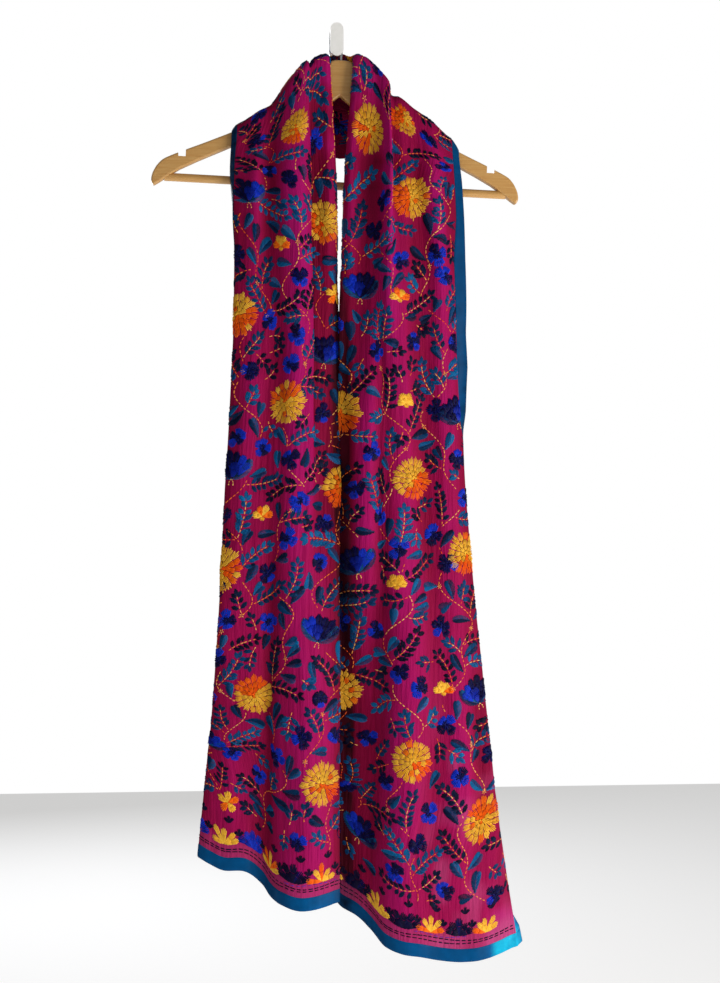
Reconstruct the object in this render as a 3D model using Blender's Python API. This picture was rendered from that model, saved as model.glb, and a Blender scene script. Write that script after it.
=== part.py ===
"""An embroidered phulkari shawl hung like a scarf on a notched wooden hanger, on a wall peg.

Metres, +Z up, +X to the viewer's right, the wall lies behind at Y = 0 and the viewer is at -Y.
The origin is the middle of the peg's back plate, on the wall.

The shawl is folded lengthwise with its right side out. Its middle passes behind the hanger's
neck, and each half comes over an arm and hangs down in front. One smooth sheet is laid through
fold lines that run the whole length of the cloth, and each sewn piece is a wall on part of it.
"""

from collections import namedtuple
from math import cos, pi, radians, sin

import bmesh
import bpy
import numpy as np
from mathutils import Matrix, Vector

MM = 0.001
GAP = 0.3  # mm, between pieces at a seam or a seat
SEAM = 0.9  # mm along the cloth, between a side binding and the cloth
END_SEAM = 1.2  # mm along a fold line, because the lines cross the other seams at a slant
SEAT = 1.2  # mm, between the cloth and the arm that it bends over

# Driving sizes, in millimetres
WALL = 1.4  # cloth with its embroidery
BAND_WALL = 1.8  # the satin that binds the edges, folded over the cloth
HEM_BAND = 16.0  # height of the satin band on each short end
SIDE_BINDING = 12.0  # width of the satin binding on each long edge
TILT = radians(2.26)  # the hanger's right arm hangs lower
HOOK_DEPTH = -48.0  # the hanger's middle plane, in front of the wall
HOOK_RISE = 31.3  # from the top of the wooden neck to the middle of the hook's bend
WOOD_THICK = 13.0
WOOD_ROUNDING = 3.6
BAR_RADIUS = 5.0
BAR_DROP = 151.6  # centre of the trouser bar, below the neck's top
BAR_HALF = 207.0
WIRE_RADIUS = 1.5
WIRE_BEND = 6.8  # radius of the hook's bend, at the middle of the wire
BEND_STEPS = 12
WIRE_DEPTH = 24.0  # how far the shank goes into the neck
WIRE_TIP_UP = 9.0  # the free end of the hook, above the neck's top
PEG_RADIUS = WIRE_BEND - WIRE_RADIUS - GAP
# Top of the hanger's neck: the tilted hanger hangs from the peg at the origin
NECK = (
    WIRE_BEND * cos(TILT) - HOOK_RISE * sin(TILT),
    HOOK_DEPTH,
    -WIRE_BEND * sin(TILT) - HOOK_RISE * cos(TILT),
)
FACE_SIZE = (16.0, 40.0, 3.0)  # the peg's upright face: width, height, thickness
FACE_CENTRE_UP = 25.0  # above the neck's top
FACE_CLEARANCE = 3.0  # from the wire to the back of the face
BACK_SIZE = (12.0, 34.0, 4.0)  # the plate that is screwed to the wall

# The fold lines of each half, from the hidden far edge, round the inner fold, to the outer edge.
# crest: where a line passes over the hanger. across: mm from the hanger's middle, towards the
# outside. out: mm in front of the hanger's middle plane. up: mm above the top of its neck.
# None as crest_up seats that line on the wooden arm.
Fold = namedtuple(
    "Fold",
    "name rear_across rear_up crest_across crest_up brow_out upper_across upper_out "
    "chest_across chest_out waist_across waist_out low_across low_out hem_across hem_out hem_up",
)
LEFT_FOLDS = [
    Fold("far_edge", 79, -78, 80, None, 10, 98, 10, 98, 11, 94, 11, 91, 11, 82, 12, -976),
    Fold("far_seam", 68, -71, 69, None, 10, 86, 10, 86, 10, 82, 12, 79, 11, 70, 13, -981),
    Fold("far_middle", 48, -54, 50, -43, 10, 53, 10, 53, 14, 50, 15, 48, 18, 43, 18, -998),
    Fold("far_inner", 26, -22, 28, -13, 10, 24, 10, 21, 11, 20, 14, 20, 18, 20, 19, -1008),
    Fold("inner_fold", 13, 0, 15, 1, 12.5, 7, 14, 6, 15, 4.5, 20, 4, 24, 4, 26, -1011),
    Fold("inner_strip", 16, 6, 19, 7, 15.5, 15, 22, 14, 24, 11, 26, 12, 30, 12, 34, -1013),
    Fold("pleat_root", 28, 0, 30, 3, 15, 29, 16.5, 28, 16.5, 24, 20.5, 26, 38, 26, 42, -1016),
    Fold("pleat_inside", 35, -10, 38, -6, 18, 43, 19.5, 42, 19.5, 33, 22, 39, 43, 40, 47, -1018),
    Fold("pleat_lip", 40, -5, 43, 1, 23, 38, 27, 36, 28, 39, 31, 52, 44, 55, 47, -1018),
    Fold("first_ridge", 51, -20, 54, -13, 26, 50, 39, 48, 40, 52, 41, 65, 41, 69, 43, -1014),
    Fold("ridge_slope", 66, -42, 69, -33, 23, 68, 36, 67, 37, 68, 38, 78, 31, 84, 31, -1007),
    Fold("valley", 82, -65, 84, -55, 18, 87, 21, 87, 20, 89, 20, 87, 20, 97, 20, -990),
    Fold("second_ridge", 98, -76, 101, -65, 19, 104, 28, 106, 30, 111, 30, 111, 29, 117, 30, -975),
    Fold("outer_slope", 109, -86, 112, -73, 17, 116, 22, 120, 24, 127, 23, 135, 31, 144, 32, -973),
    Fold("outer_fold", 117, -93, 119, -78, 15.5, 122, 19.5, 129, 20, 139, 18, 154, 21, 173, 22, -958),
    Fold("outer_seam", 121, -97, 123, -80, 14.5, 127, 16.5, 129, 13, 132, 11, 144, 13, 161, 14, -964),
    Fold("outer_edge", 130, -104, 132, None, 11, 134, 8, 122, 4, 120, 9, 132, 11, 149, 12, -968),
]
RIGHT_FOLDS = [
    Fold("far_edge", 89, -87, 90, None, 10, 105, 10, 112, 11, 114, 11, 119, 11, 112, 12, -1074),
    Fold("far_seam", 78, -80, 79, None, 10, 93, 10, 100, 11, 102, 11, 107, 11, 100, 12, -1071),
    Fold("far_middle", 56, -63, 57, -53, 10, 59, 10, 61, 15, 63, 16, 66, 17, 61, 19, -1060),
    Fold("far_inner", 28, -25, 30, -15, 10, 22, 10, 20, 10.5, 18, 10.5, 17, 10.5, 12, 10.5, -1030),
    Fold("inner_fold", 13, 0, 15, 1, 12.5, 4, 14, 0, 14, -2, 14, -6, 14.5, -6, 14.5, -1016),
    Fold("inner_strip", 16, 6, 19, 7, 16, 9, 23, 7, 24, 5, 21, 4, 22, 1, 22, -1024),
    Fold("pleat_root", 28, 0, 30, 3, 18, 24, 20, 24, 19, 24, 20, 24, 23, 20, 26, -1034),
    Fold("pleat_inside", 41, -14, 43, -9, 19, 44, 24, 40, 22, 40, 22, 40, 26, 34, 29, -1047),
    Fold("pleat_lip", 53, -31, 56, -24, 27, 57, 42, 53, 42, 53, 41, 58, 43, 50, 42, -1065),
    Fold("first_ridge", 56, -48, 59, -41, 20, 60, 29, 66, 37, 68, 38, 76, 47, 69, 47, -1073),
    Fold("ridge_slope", 68, -55, 71, -44, 20, 73, 29, 81, 32, 84, 34, 96, 43, 91, 44, -1077),
    Fold("valley", 83, -68, 86, -56, 19, 90, 23, 98, 22, 102, 22, 116, 31, 116, 33, -1083),
    Fold("second_ridge", 105, -86, 109, -72, 20, 110, 30, 117, 31, 124, 31, 136, 35, 145, 37, -1086),
    Fold("outer_slope", 118, -98, 121, -83, 18, 126, 22, 130, 22, 139, 23, 154, 28, 177, 28, -1083),
    Fold("outer_fold", 127, -106, 129, -90, 16, 132, 19, 137, 19, 148, 18, 172, 19, 205, 21, -1074),
    Fold("outer_seam", 131, -110, 133, -93, 15, 136, 17, 142, 17, 149, 13, 168, 13, 213, 16, -1072),
    Fold("outer_edge", 140, -117, 142, None, 11, 146, 11, 152, 11, 147, 2, 158, 7, 221, 7, -1069),
]
# The same lines at the middle of the length, behind the neck: height, and depth behind the hanger.
Behind = namedtuple("Behind", "name up back")
BEHIND_NECK = [
    Behind("far_edge", -72, 11),
    Behind("far_seam", -60, 11),
    Behind("far_middle", -38, 11),
    Behind("far_inner", -9, 11),
    Behind("inner_fold", 5, 13.5),
    Behind("inner_strip", 5, 20),
    Behind("pleat_root", -5, 21),
    Behind("pleat_inside", -17, 22),
    Behind("pleat_lip", -10, 27),
    Behind("first_ridge", -28, 29),
    Behind("ridge_slope", -44, 27),
    Behind("valley", -60, 23),
    Behind("second_ridge", -77, 27),
    Behind("outer_slope", -91, 23),
    Behind("outer_fold", -103, 22),
    Behind("outer_seam", -107, 21),
    Behind("outer_edge", -118, 19),
]
ARCH_SQUARENESS = 0.62  # of the cloth's arch over an arm: 1 is round, less is squarer
LEAN = 0.12  # share of the way to its place on the upper level that a line has gone at the arm
ARM_BACK = 0.95  # depth behind the arms, as a share of the depth behind the neck
# Heights of the level stations of the hanging halves, below the neck's top
LEVELS = {"upper": -147, "chest": -292, "waist": -508, "low": -760}

# Quads from each station to the next, hem to the middle of the length
STEPS_ALONG = (6, 5, 4, 4, 3, 2, 2, 2, 2, 5)
FRONT_STATIONS = 9  # how many of those steps belong to a front stretch
# Quads from each fold line to the next, far edge to outer seam
STEPS_ACROSS = (2, 2, 3, 3, 2, 3, 3, 3, 2, 2, 2, 2, 3, 2)

# The wooden hanger's outline, right half, from the top of the neck to the tip and back below
WOOD_TOP = [
    (0, 0), (8, -0.6), (13.5, -3), (17, -11), (24, -27), (38, -43), (60, -58),
    (90, -75), (122.5, -91.5), (160, -108.5), (181, -117.5), (200, -126), (210, -131.5),
]
WOOD_TIP = [(217, -139.5), (221.5, -149), (222.5, -157), (220, -163)]
WOOD_BELOW = [(213, -158.5), (188.4, -141.3), (150, -122), (125, -110), (60, -77), (11.5, -52), (0, -43)]
NOTCH_ACROSS = 187.0
NOTCH_WIDTH = 9.0
NOTCH_DEPTH = 6.5


def clear_scene():
    for obj in list(bpy.data.objects):
        bpy.data.objects.remove(obj, do_unlink=True)


def material(name, rgb, roughness, metallic=0.0):
    """A Principled material of one colour."""
    made = bpy.data.materials.new(name)
    made.use_nodes = True
    shader = made.node_tree.nodes["Principled BSDF"]
    shader.inputs["Base Color"].default_value = (*rgb, 1.0)
    shader.inputs["Roughness"].default_value = roughness
    shader.inputs["Metallic"].default_value = metallic
    return made


def add_object(name, mesh, finish):
    obj = bpy.data.objects.new(name, mesh)
    obj.data.materials.append(finish)
    bpy.context.scene.collection.objects.link(obj)
    return obj


# The cloth's sheet

NORMAL_STEP = 0.02  # of a station or a line, to each side of the place where a normal is read


def on_wood(across, side):
    """Height of a line of cloth that rests on the tilted arm, at mm across from the middle."""
    top = np.array(WOOD_TOP, float)
    tilted_across = top[:, 0] * cos(TILT) + side * top[:, 1] * sin(TILT)
    tilted_up = top[:, 1] * cos(TILT) - side * top[:, 0] * sin(TILT)
    return np.interp(across, tilted_across, tilted_up) + SEAT + BAND_WALL / 2


def half_line(fold, behind, side):
    """Points of one fold line from the hem to just behind the arm; side is -1 left, 1 right."""
    crest_up = on_wood(fold.crest_across, side) if fold.crest_up is None else fold.crest_up
    points = [(fold.hem_across, fold.hem_out, fold.hem_up)]
    for level in ("low", "waist", "chest", "upper"):
        across = getattr(fold, level + "_across")
        out = getattr(fold, level + "_out")
        points.append((across, out, LEVELS[level]))
    # Over the arm: a rounded arch that leans from the hanging part towards the neck
    lean = LEAN * (fold.upper_across - fold.crest_across)
    slip = fold.rear_across - fold.crest_across
    fall = crest_up - fold.rear_up
    for turn in (0.0, 0.25, 0.5, 0.75, 1.0):
        front = max(0.0, cos(turn * pi)) ** ARCH_SQUARENESS
        rear = max(0.0, -cos(turn * pi)) ** ARCH_SQUARENESS
        across = fold.crest_across + lean * front + slip * rear
        out = fold.brow_out * front - ARM_BACK * behind.back * rear
        drop = fold.brow_out if turn < 0.5 else fall
        points.append((across, out, crest_up - drop * (1.0 - sin(turn * pi) ** ARCH_SQUARENESS)))
    return [(side * across, -out, up) for across, out, up in points]


def fold_lines():
    """Array of the fold lines: station by station along, line by line across, in mm."""
    lines = []
    for left, right, behind in zip(LEFT_FOLDS, RIGHT_FOLDS, BEHIND_NECK):
        middle = [(0.0, behind.back, behind.up)]
        right_half = half_line(right, behind, 1)
        lines.append(half_line(left, behind, -1) + middle + right_half[::-1])
    return np.array(lines).transpose(1, 0, 2)


def smooth_curve(points, at):
    """A round curve through points[k], read at each value of at (0 to n-1).

    points is (n, m, 3) for m curves side by side, and at is (s, m) or (s, 1). At each point the
    curve heads between its two neighbours, with a pull no longer than the nearer one."""
    count = len(points)
    steps = np.diff(points, axis=0)
    lengths = np.maximum(np.linalg.norm(steps, axis=2, keepdims=True), 1e-6)
    directions = steps / lengths
    headings = np.concatenate([directions[:1], directions[:-1] + directions[1:], directions[-1:]])
    headings /= np.maximum(np.linalg.norm(headings, axis=2, keepdims=True), 1e-6)
    nearer = np.minimum(lengths[:-1], lengths[1:])
    pulls = headings * np.concatenate([lengths[:1], nearer, lengths[-1:]])
    at = np.broadcast_to(at, (len(at), points.shape[1]))
    index = np.clip(at.astype(int), 0, count - 2)
    share = (at - index)[..., None]
    column = np.arange(points.shape[1])[None, :]
    start, end = points[index, column], points[index + 1, column]
    leave, arrive = pulls[index, column], pulls[index + 1, column]
    start_weight = 2 * share**3 - 3 * share**2 + 1
    leave_weight = share**3 - 2 * share**2 + share
    arrive_weight = share**3 - share**2
    return (
        start_weight * start
        + leave_weight * leave
        + (1 - start_weight) * end
        + arrive_weight * arrive
    )


def sheet_points(along, across):
    """Points of the sheet: along in stations (one row per line, or one for all), across in lines."""
    lines = fold_lines()
    rows = smooth_curve(lines, along)
    columns = smooth_curve(rows.transpose(1, 0, 2), np.asarray(across, float)[:, None])
    return columns.transpose(1, 0, 2)


def steps_between(first, counts):
    """Places first, first + 1/n, ... with counts[k] = n steps from whole number k to the next."""
    places = []
    for number, count in enumerate(counts):
        places += [first + number + step / count for step in range(count)]
    return np.array(places + [first + len(counts)])


def sheet_normals(along, across):
    """Unit normals of the sheet, on the cloth's right side, from points just around each place."""
    step = NORMAL_STEP
    last_line, last_station = len(LEFT_FOLDS) - 1, 2 * len(STEPS_ALONG)
    before, after = np.clip(along - step, 0, None), np.clip(along + step, None, last_station)
    nearer, farther = np.clip(across - step, 0, None), np.clip(across + step, None, last_line)
    down = sheet_points(after, across) - sheet_points(before, across)
    over = sheet_points(along, farther) - sheet_points(along, nearer)
    normals = np.cross(down, over)
    return normals / np.linalg.norm(normals, axis=2, keepdims=True)


def cloth_wall(name, along, across, thickness, finish):
    """A closed wall of even thickness on part of the sheet, as one object."""
    points = sheet_points(along, across)
    normals = sheet_normals(along, across)
    rows, columns = points.shape[:2]
    faces_up = points + normals * thickness / 2
    faces_down = points - normals * thickness / 2
    corners = np.concatenate([faces_up.reshape(-1, 3), faces_down.reshape(-1, 3)])
    corners = (corners + np.array(NECK)) * MM
    under = rows * columns
    quads = []
    for row in range(rows - 1):
        for column in range(columns - 1):
            a = row * columns + column
            b, c, d = a + 1, a + columns + 1, a + columns
            quads.append((a, d, c, b))
            quads.append((a + under, b + under, c + under, d + under))
    rim = list(range(columns))
    rim += [row * columns + columns - 1 for row in range(1, rows)]
    rim += [(rows - 1) * columns + column for column in range(columns - 2, -1, -1)]
    rim += [row * columns for row in range(rows - 2, 0, -1)]
    for here, there in zip(rim, rim[1:] + rim[:1]):
        quads.append((here, there, there + under, here + under))
    mesh = bpy.data.meshes.new(name)
    mesh.from_pydata([tuple(corner) for corner in corners], [], quads)
    mesh.validate()
    work = bmesh.new()
    work.from_mesh(mesh)
    bmesh.ops.recalc_face_normals(work, faces=work.faces)
    work.to_mesh(mesh)
    work.free()
    mesh.shade_smooth()
    mesh.set_sharp_from_angle(angle=radians(50))
    return add_object(name, mesh, finish)


def along_from(station, width):
    """The place on each fold line that lies width mm from a station; a negative width goes back."""
    lines = fold_lines()
    shares = np.linspace(0, 1, 61)[:, None]
    places = station + np.sign(width) * shares * np.ones((1, lines.shape[1]))
    steps = np.linalg.norm(np.diff(smooth_curve(lines, places), axis=0), axis=2)
    travelled = np.concatenate([np.zeros((1, lines.shape[1])), np.cumsum(steps, axis=0)])
    return np.array([np.interp(abs(width), *pair) for pair in zip(travelled.T, places.T)])


def build_shawl():
    magenta = material("magenta crepe", (0.43, 0.012, 0.10), 0.75)
    satin = material("teal satin binding", (0.01, 0.105, 0.20), 0.45)
    last_line = len(LEFT_FOLDS) - 1
    last = 2 * len(STEPS_ALONG)
    rows = steps_between(0, STEPS_ALONG + STEPS_ALONG[::-1])[:, None] * np.ones((1, last_line + 1))
    # Above each hem band the cloth's rows start from the band's seam instead of the hem
    left_cloth = along_from(0, HEM_BAND + END_SEAM)
    right_cloth = along_from(last, -HEM_BAND - END_SEAM)
    rows = np.where(rows < 1, left_cloth + (1 - left_cloth) * rows, rows)
    rows = np.where(rows > last - 1, right_cloth - (right_cloth - last + 1) * (last - rows), rows)
    front_rows = sum(STEPS_ALONG[:FRONT_STATIONS])
    behind = rows[front_rows : len(rows) - front_rows].copy()
    behind[0] = along_from(FRONT_STATIONS, END_SEAM)
    behind[-1] = along_from(last - FRONT_STATIONS, -END_SEAM)
    stretches = {
        "left_front": rows[: front_rows + 1],
        "back": behind,
        "right_front": rows[len(rows) - 1 - front_rows :],
    }
    cloth = steps_between(1, STEPS_ACROSS)
    seam = SEAM / SIDE_BINDING
    far = np.array([0.0, 1.0 - seam])
    outer = np.array([last_line - 1 + seam, last_line])
    for stretch, along in stretches.items():
        cloth_wall("shawl_" + stretch, along, cloth, WALL, magenta)
        cloth_wall("outer_binding_" + stretch, along, outer, BAND_WALL, satin)
        cloth_wall("far_binding_" + stretch, along, far, BAND_WALL, satin)
    everything = np.concatenate([[0.0], cloth, [last_line]])
    hem = np.zeros(last_line + 1)
    left_rows = np.array([hem, along_from(0, HEM_BAND)])
    right_rows = np.array([along_from(last, -HEM_BAND), hem + last])
    cloth_wall("hem_band_left", left_rows, everything, BAND_WALL, satin)
    cloth_wall("hem_band_right", right_rows, everything, BAND_WALL, satin)


# The hanger


def hanger_outline():
    """The wooden frame's outline as points across and up, in mm, going round once."""
    right = smooth_outline(WOOD_TOP + WOOD_TIP, count=3) + smooth_outline(WOOD_BELOW, count=2)
    left = [(-across, up) for across, up in right[::-1]]
    return right[:-1] + left[:-1]


def smooth_outline(points, count):
    """A smooth line through 2-D points, with count steps between two of them."""
    points = np.array([(across, 0.0, up) for across, up in points])[:, None, :]
    at = steps_between(0, [count] * (len(points) - 1))[:, None]
    return [(point[0, 0], point[0, 2]) for point in smooth_curve(points, at)]


def cutter(name, mesh, parent):
    obj = bpy.data.objects.new(name, mesh)
    obj.hide_render = True
    obj.display_type = "WIRE"
    obj.parent = parent
    bpy.context.scene.collection.objects.link(obj)
    return obj


def rod_mesh(name, radius, start, end, sides):
    """A closed round rod from start to end."""
    work = bmesh.new()
    axis = Vector(end) - Vector(start)
    turn = axis.to_track_quat("Z", "Y").to_matrix().to_4x4()
    middle = Matrix.Translation((Vector(start) + Vector(end)) / 2)
    bmesh.ops.create_cone(
        work, cap_ends=True, segments=sides, radius1=radius, radius2=radius, depth=axis.length,
        matrix=middle @ turn,
    )
    mesh = bpy.data.meshes.new(name)
    work.to_mesh(mesh)
    work.free()
    mesh.shade_smooth()
    mesh.set_sharp_from_angle(angle=radians(40))
    return mesh


def box_mesh(name, low, high):
    work = bmesh.new()
    size = Vector(high) - Vector(low)
    place = Matrix.Translation((Vector(low) + Vector(high)) / 2) @ Matrix.Diagonal((*size, 1.0))
    bmesh.ops.create_cube(work, size=1.0, matrix=place)
    mesh = bpy.data.meshes.new(name)
    work.to_mesh(mesh)
    work.free()
    return mesh


def plate_mesh(name, outline, back, front):
    """An outline of points across and up (mm), extruded from back to front."""
    work = bmesh.new()
    corners = [work.verts.new((across * MM, back * MM, up * MM)) for across, up in outline]
    face = work.faces.new(corners)
    pushed = bmesh.ops.extrude_face_region(work, geom=[face])
    moved = [part for part in pushed["geom"] if isinstance(part, bmesh.types.BMVert)]
    bmesh.ops.translate(work, verts=moved, vec=(0, (front - back) * MM, 0))
    bmesh.ops.recalc_face_normals(work, faces=work.faces)
    mesh = bpy.data.meshes.new(name)
    work.to_mesh(mesh)
    work.free()
    return mesh


def build_hanger(neck):
    wood = material("pale lotus wood", (0.58, 0.36, 0.13), 0.45)
    frame_mesh = plate_mesh("hanger_frame", hanger_outline(), WOOD_THICK / 2, -WOOD_THICK / 2)
    frame = add_object("hanger_frame", frame_mesh, wood)
    frame.parent = neck
    rounding = frame.modifiers.new("rounded edges", "BEVEL")
    rounding.width = WOOD_ROUNDING * MM
    rounding.segments = 2
    rounding.limit_method = "ANGLE"
    rounding.angle_limit = radians(60)
    cuts = []
    for side in (-1, 1):
        top = np.interp(NOTCH_ACROSS, *np.array(WOOD_TOP).T)
        low = (side * NOTCH_ACROSS - NOTCH_WIDTH / 2, -WOOD_THICK, top - NOTCH_DEPTH)
        high = (side * NOTCH_ACROSS + NOTCH_WIDTH / 2, WOOD_THICK, top + 2 * NOTCH_DEPTH)
        cuts.append(box_mesh("notch", Vector(low) * MM, Vector(high) * MM))
    bore = BAR_RADIUS + GAP
    ends = Vector((BAR_HALF + GAP, 0, 0)) * MM
    drop = Vector((0, 0, -BAR_DROP)) * MM
    cuts.append(rod_mesh("bar_bore", bore * MM, drop - ends, drop + ends, 20))
    shank = Vector((0, 0, -WIRE_DEPTH - GAP)) * MM
    above = Vector((0, 0, 2 * WIRE_RADIUS)) * MM
    cuts.append(rod_mesh("wire_bore", (WIRE_RADIUS + GAP) * MM, shank, above, 12))
    for number, mesh in enumerate(cuts):
        cut = frame.modifiers.new("cut %d" % number, "BOOLEAN")
        cut.operation = "DIFFERENCE"
        cut.object = cutter("cutter_%d" % number, mesh, neck)
    inner_ends = Vector((BAR_HALF, 0, 0)) * MM
    bar_mesh = rod_mesh("trouser_bar", BAR_RADIUS * MM, drop - inner_ends, drop + inner_ends, 20)
    bar = add_object("trouser_bar", bar_mesh, wood)
    bar.parent = neck


def build_wire(neck):
    """The hook: a straight shank, a half turn over the peg, and a short free end."""
    steel = material("bright steel wire", (0.6, 0.6, 0.6), 0.25, 1.0)
    points = [(0.0, -WIRE_DEPTH)]
    for step in range(BEND_STEPS + 1):
        turn = pi * step / BEND_STEPS
        points.append((-WIRE_BEND + WIRE_BEND * cos(turn), HOOK_RISE + WIRE_BEND * sin(turn)))
    points.append((-2 * WIRE_BEND, WIRE_TIP_UP))
    curve = bpy.data.curves.new("wire_hook", "CURVE")
    curve.dimensions = "3D"
    curve.bevel_depth = WIRE_RADIUS * MM
    curve.bevel_resolution = 2
    curve.use_fill_caps = True
    line = curve.splines.new("POLY")
    line.points.add(len(points) - 1)
    for point, (across, up) in zip(line.points, points):
        point.co = (across * MM, 0.0, up * MM, 1.0)
    wire = bpy.data.objects.new("wire_hook", curve)
    wire.data.materials.append(steel)
    bpy.context.scene.collection.objects.link(wire)
    wire.parent = neck


# The wall peg


def rounded_upright(width, height, steps):
    """A flat bar's outline with half-round ends."""
    radius = width / 2
    outline = []
    for centre, start in ((height / 2 - radius, 0.0), (-height / 2 + radius, pi)):
        for step in range(steps + 1):
            turn = start + pi * step / steps
            outline.append((radius * cos(turn), centre + radius * sin(turn)))
    return outline


def build_peg():
    """One casting: a plate on the wall, a round stem, and an upright face that keeps the hook on."""
    enamel = material("white enamel", (0.80, 0.82, 0.80), 0.4)
    face_back = NECK[1] - WIRE_RADIUS - FACE_CLEARANCE
    face_outline = rounded_upright(FACE_SIZE[0], FACE_SIZE[1], steps=10)
    face_up = NECK[2] + FACE_CENTRE_UP
    face_outline = [(across, up + face_up) for across, up in face_outline]
    back_outline = rounded_upright(BACK_SIZE[0], BACK_SIZE[1], steps=8)
    face = add_object("peg", plate_mesh("peg", face_outline, face_back, face_back - FACE_SIZE[2]), enamel)
    plate = cutter("peg_plate", plate_mesh("peg_plate", back_outline, 0.0, -BACK_SIZE[2]), None)
    start = Vector((0, -BACK_SIZE[2] / 2, 0)) * MM
    end = Vector((0, face_back - FACE_SIZE[2] / 2, 0)) * MM
    stem = cutter("peg_stem", rod_mesh("peg_stem", PEG_RADIUS * MM, start, end, 24), None)
    for number, other in enumerate((stem, plate)):
        join = face.modifiers.new("join %d" % number, "BOOLEAN")
        join.operation = "UNION"
        join.object = other


def build():
    clear_scene()
    neck = bpy.data.objects.new("neck", None)
    neck.location = Vector(NECK) * MM
    neck.rotation_euler = (0, TILT, 0)
    bpy.context.scene.collection.objects.link(neck)
    build_shawl()
    build_hanger(neck)
    build_wire(neck)
    build_peg()


build()
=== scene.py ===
# %% [markdown]
# # An embroidered phulkari shawl on a wooden hanger
#
# A phulkari shawl is a long length of crepe that is covered with flowers in silk floss. This one is
# edged with teal satin, folded lengthwise, and hung like a scarf over a wooden hanger on a wall peg.
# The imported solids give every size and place. This lesson dresses them: a thin creased cloth, then
# some forty-two thousand stitches that are laid flat first and draped afterwards, then wood and metal.

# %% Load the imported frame
from collections import namedtuple
from functools import partial
from math import atan2, cos, hypot, pi, radians, sin

import bpy
import numpy as np
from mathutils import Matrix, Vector


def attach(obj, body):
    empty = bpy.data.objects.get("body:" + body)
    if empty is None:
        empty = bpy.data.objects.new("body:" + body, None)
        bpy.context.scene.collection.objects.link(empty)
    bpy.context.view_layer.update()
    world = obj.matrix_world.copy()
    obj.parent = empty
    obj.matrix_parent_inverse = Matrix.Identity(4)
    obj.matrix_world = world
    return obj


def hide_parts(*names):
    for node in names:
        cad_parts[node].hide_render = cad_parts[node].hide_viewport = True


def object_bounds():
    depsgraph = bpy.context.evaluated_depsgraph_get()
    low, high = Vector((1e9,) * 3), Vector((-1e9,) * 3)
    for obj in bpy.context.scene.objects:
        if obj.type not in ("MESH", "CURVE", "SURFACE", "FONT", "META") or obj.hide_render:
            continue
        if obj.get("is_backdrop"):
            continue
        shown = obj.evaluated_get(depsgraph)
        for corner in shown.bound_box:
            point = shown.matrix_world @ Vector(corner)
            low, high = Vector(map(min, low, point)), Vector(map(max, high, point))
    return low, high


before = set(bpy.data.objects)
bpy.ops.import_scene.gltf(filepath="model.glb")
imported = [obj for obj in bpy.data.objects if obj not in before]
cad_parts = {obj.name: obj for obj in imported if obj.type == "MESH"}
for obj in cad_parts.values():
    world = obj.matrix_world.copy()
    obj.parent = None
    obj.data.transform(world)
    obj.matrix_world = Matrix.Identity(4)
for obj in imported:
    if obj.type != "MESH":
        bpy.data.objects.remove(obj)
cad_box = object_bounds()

MM = 0.001
print("The packed model spans", [round(1000 * side) for side in cad_box[1] - cad_box[0]], "mm")

# %% [markdown]
# ## Where the hanger hangs
#
# The origin is the middle of the peg's back plate. The hanger's neck hangs a little below it, and
# tilts, so its right arm is lower. All the cloth's own sizes are counted from the top of that neck.

# %% The neck of the hanger
TILT = radians(2.26)
HOOK_DEPTH = -48.0  # mm, the hanger's middle plane, in front of the wall
HOOK_RISE = 31.3  # mm, from the neck's top to the middle of the hook's bend
WIRE_BEND = 6.8  # mm, radius of the hook's bend
NECK = np.array([
    WIRE_BEND * cos(TILT) - HOOK_RISE * sin(TILT),
    HOOK_DEPTH,
    -WIRE_BEND * sin(TILT) - HOOK_RISE * cos(TILT),
])
print("The neck's top is at", NECK.round(2), "mm")

# %% [markdown]
# ## A camera, a pale floor and soft light
#
# The camera stands a little to the left, level with the middle of the shawl. Its lens follows from
# two sizes: how far away it stands, and how many millimetres of the hanger's plane one picture row
# takes in. The shawl hangs well clear of the floor, so only a breath of shadow reaches it.

# %% Camera
PICTURE = (720, 983)
MM_PER_PIXEL = 1.2125  # at the hanger
DISTANCE = 2200.0  # mm
YAW = radians(5.0)
NECK_PIXEL = (341.0, 61.5)  # where the neck's top is seen
SENSOR = 24.0  # mm, the height of the camera's sensor


def new_object(name, data):
    """An object in the scene for a mesh, a lamp or a camera."""
    made = bpy.data.objects.new(name, data)
    bpy.context.scene.collection.objects.link(made)
    return made


def turned_to(direction):
    """The rotation that points a camera or a lamp along a direction, with its top upwards."""
    return Vector(direction).to_track_quat("-Z", "Y").to_euler()


aim = NECK + MM_PER_PIXEL * np.array([
    PICTURE[0] / 2 - NECK_PIXEL[0], 0.0, NECK_PIXEL[1] - PICTURE[1] / 2
])
view = np.array([sin(YAW), cos(YAW), 0.0])
lens = bpy.data.cameras.new("camera")
lens.sensor_fit = "VERTICAL"
lens.sensor_height = SENSOR
lens.lens = SENSOR * DISTANCE / (PICTURE[1] * MM_PER_PIXEL)
camera = new_object("camera", lens)
camera.location = Vector(aim - DISTANCE * view) * MM
camera.rotation_euler = turned_to(view)
bpy.context.scene.camera = camera
print("The lens is %.1f mm" % lens.lens)

# %% [markdown]
# ## Helpers for nodes and colours
#
# Dye charts give colours as sRGB hex values, but a shader mixes light, so it wants linear numbers.
# One function turns the first into the second. Another adds any node with its settings and fills
# its inputs, by a plain value or by a link, which keeps each material below as short as its recipe.

# %% Colour and node helpers


def linear(hex_value, alpha=1.0):
    """A linear colour from an sRGB hex value such as "C8186E"."""
    shares = [int(hex_value[place : place + 2], 16) / 255 for place in (0, 2, 4)]
    light = [share / 12.92 if share <= 0.04045 else ((share + 0.055) / 1.055) ** 2.4 for share in shares]
    return (*light, alpha)


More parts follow.
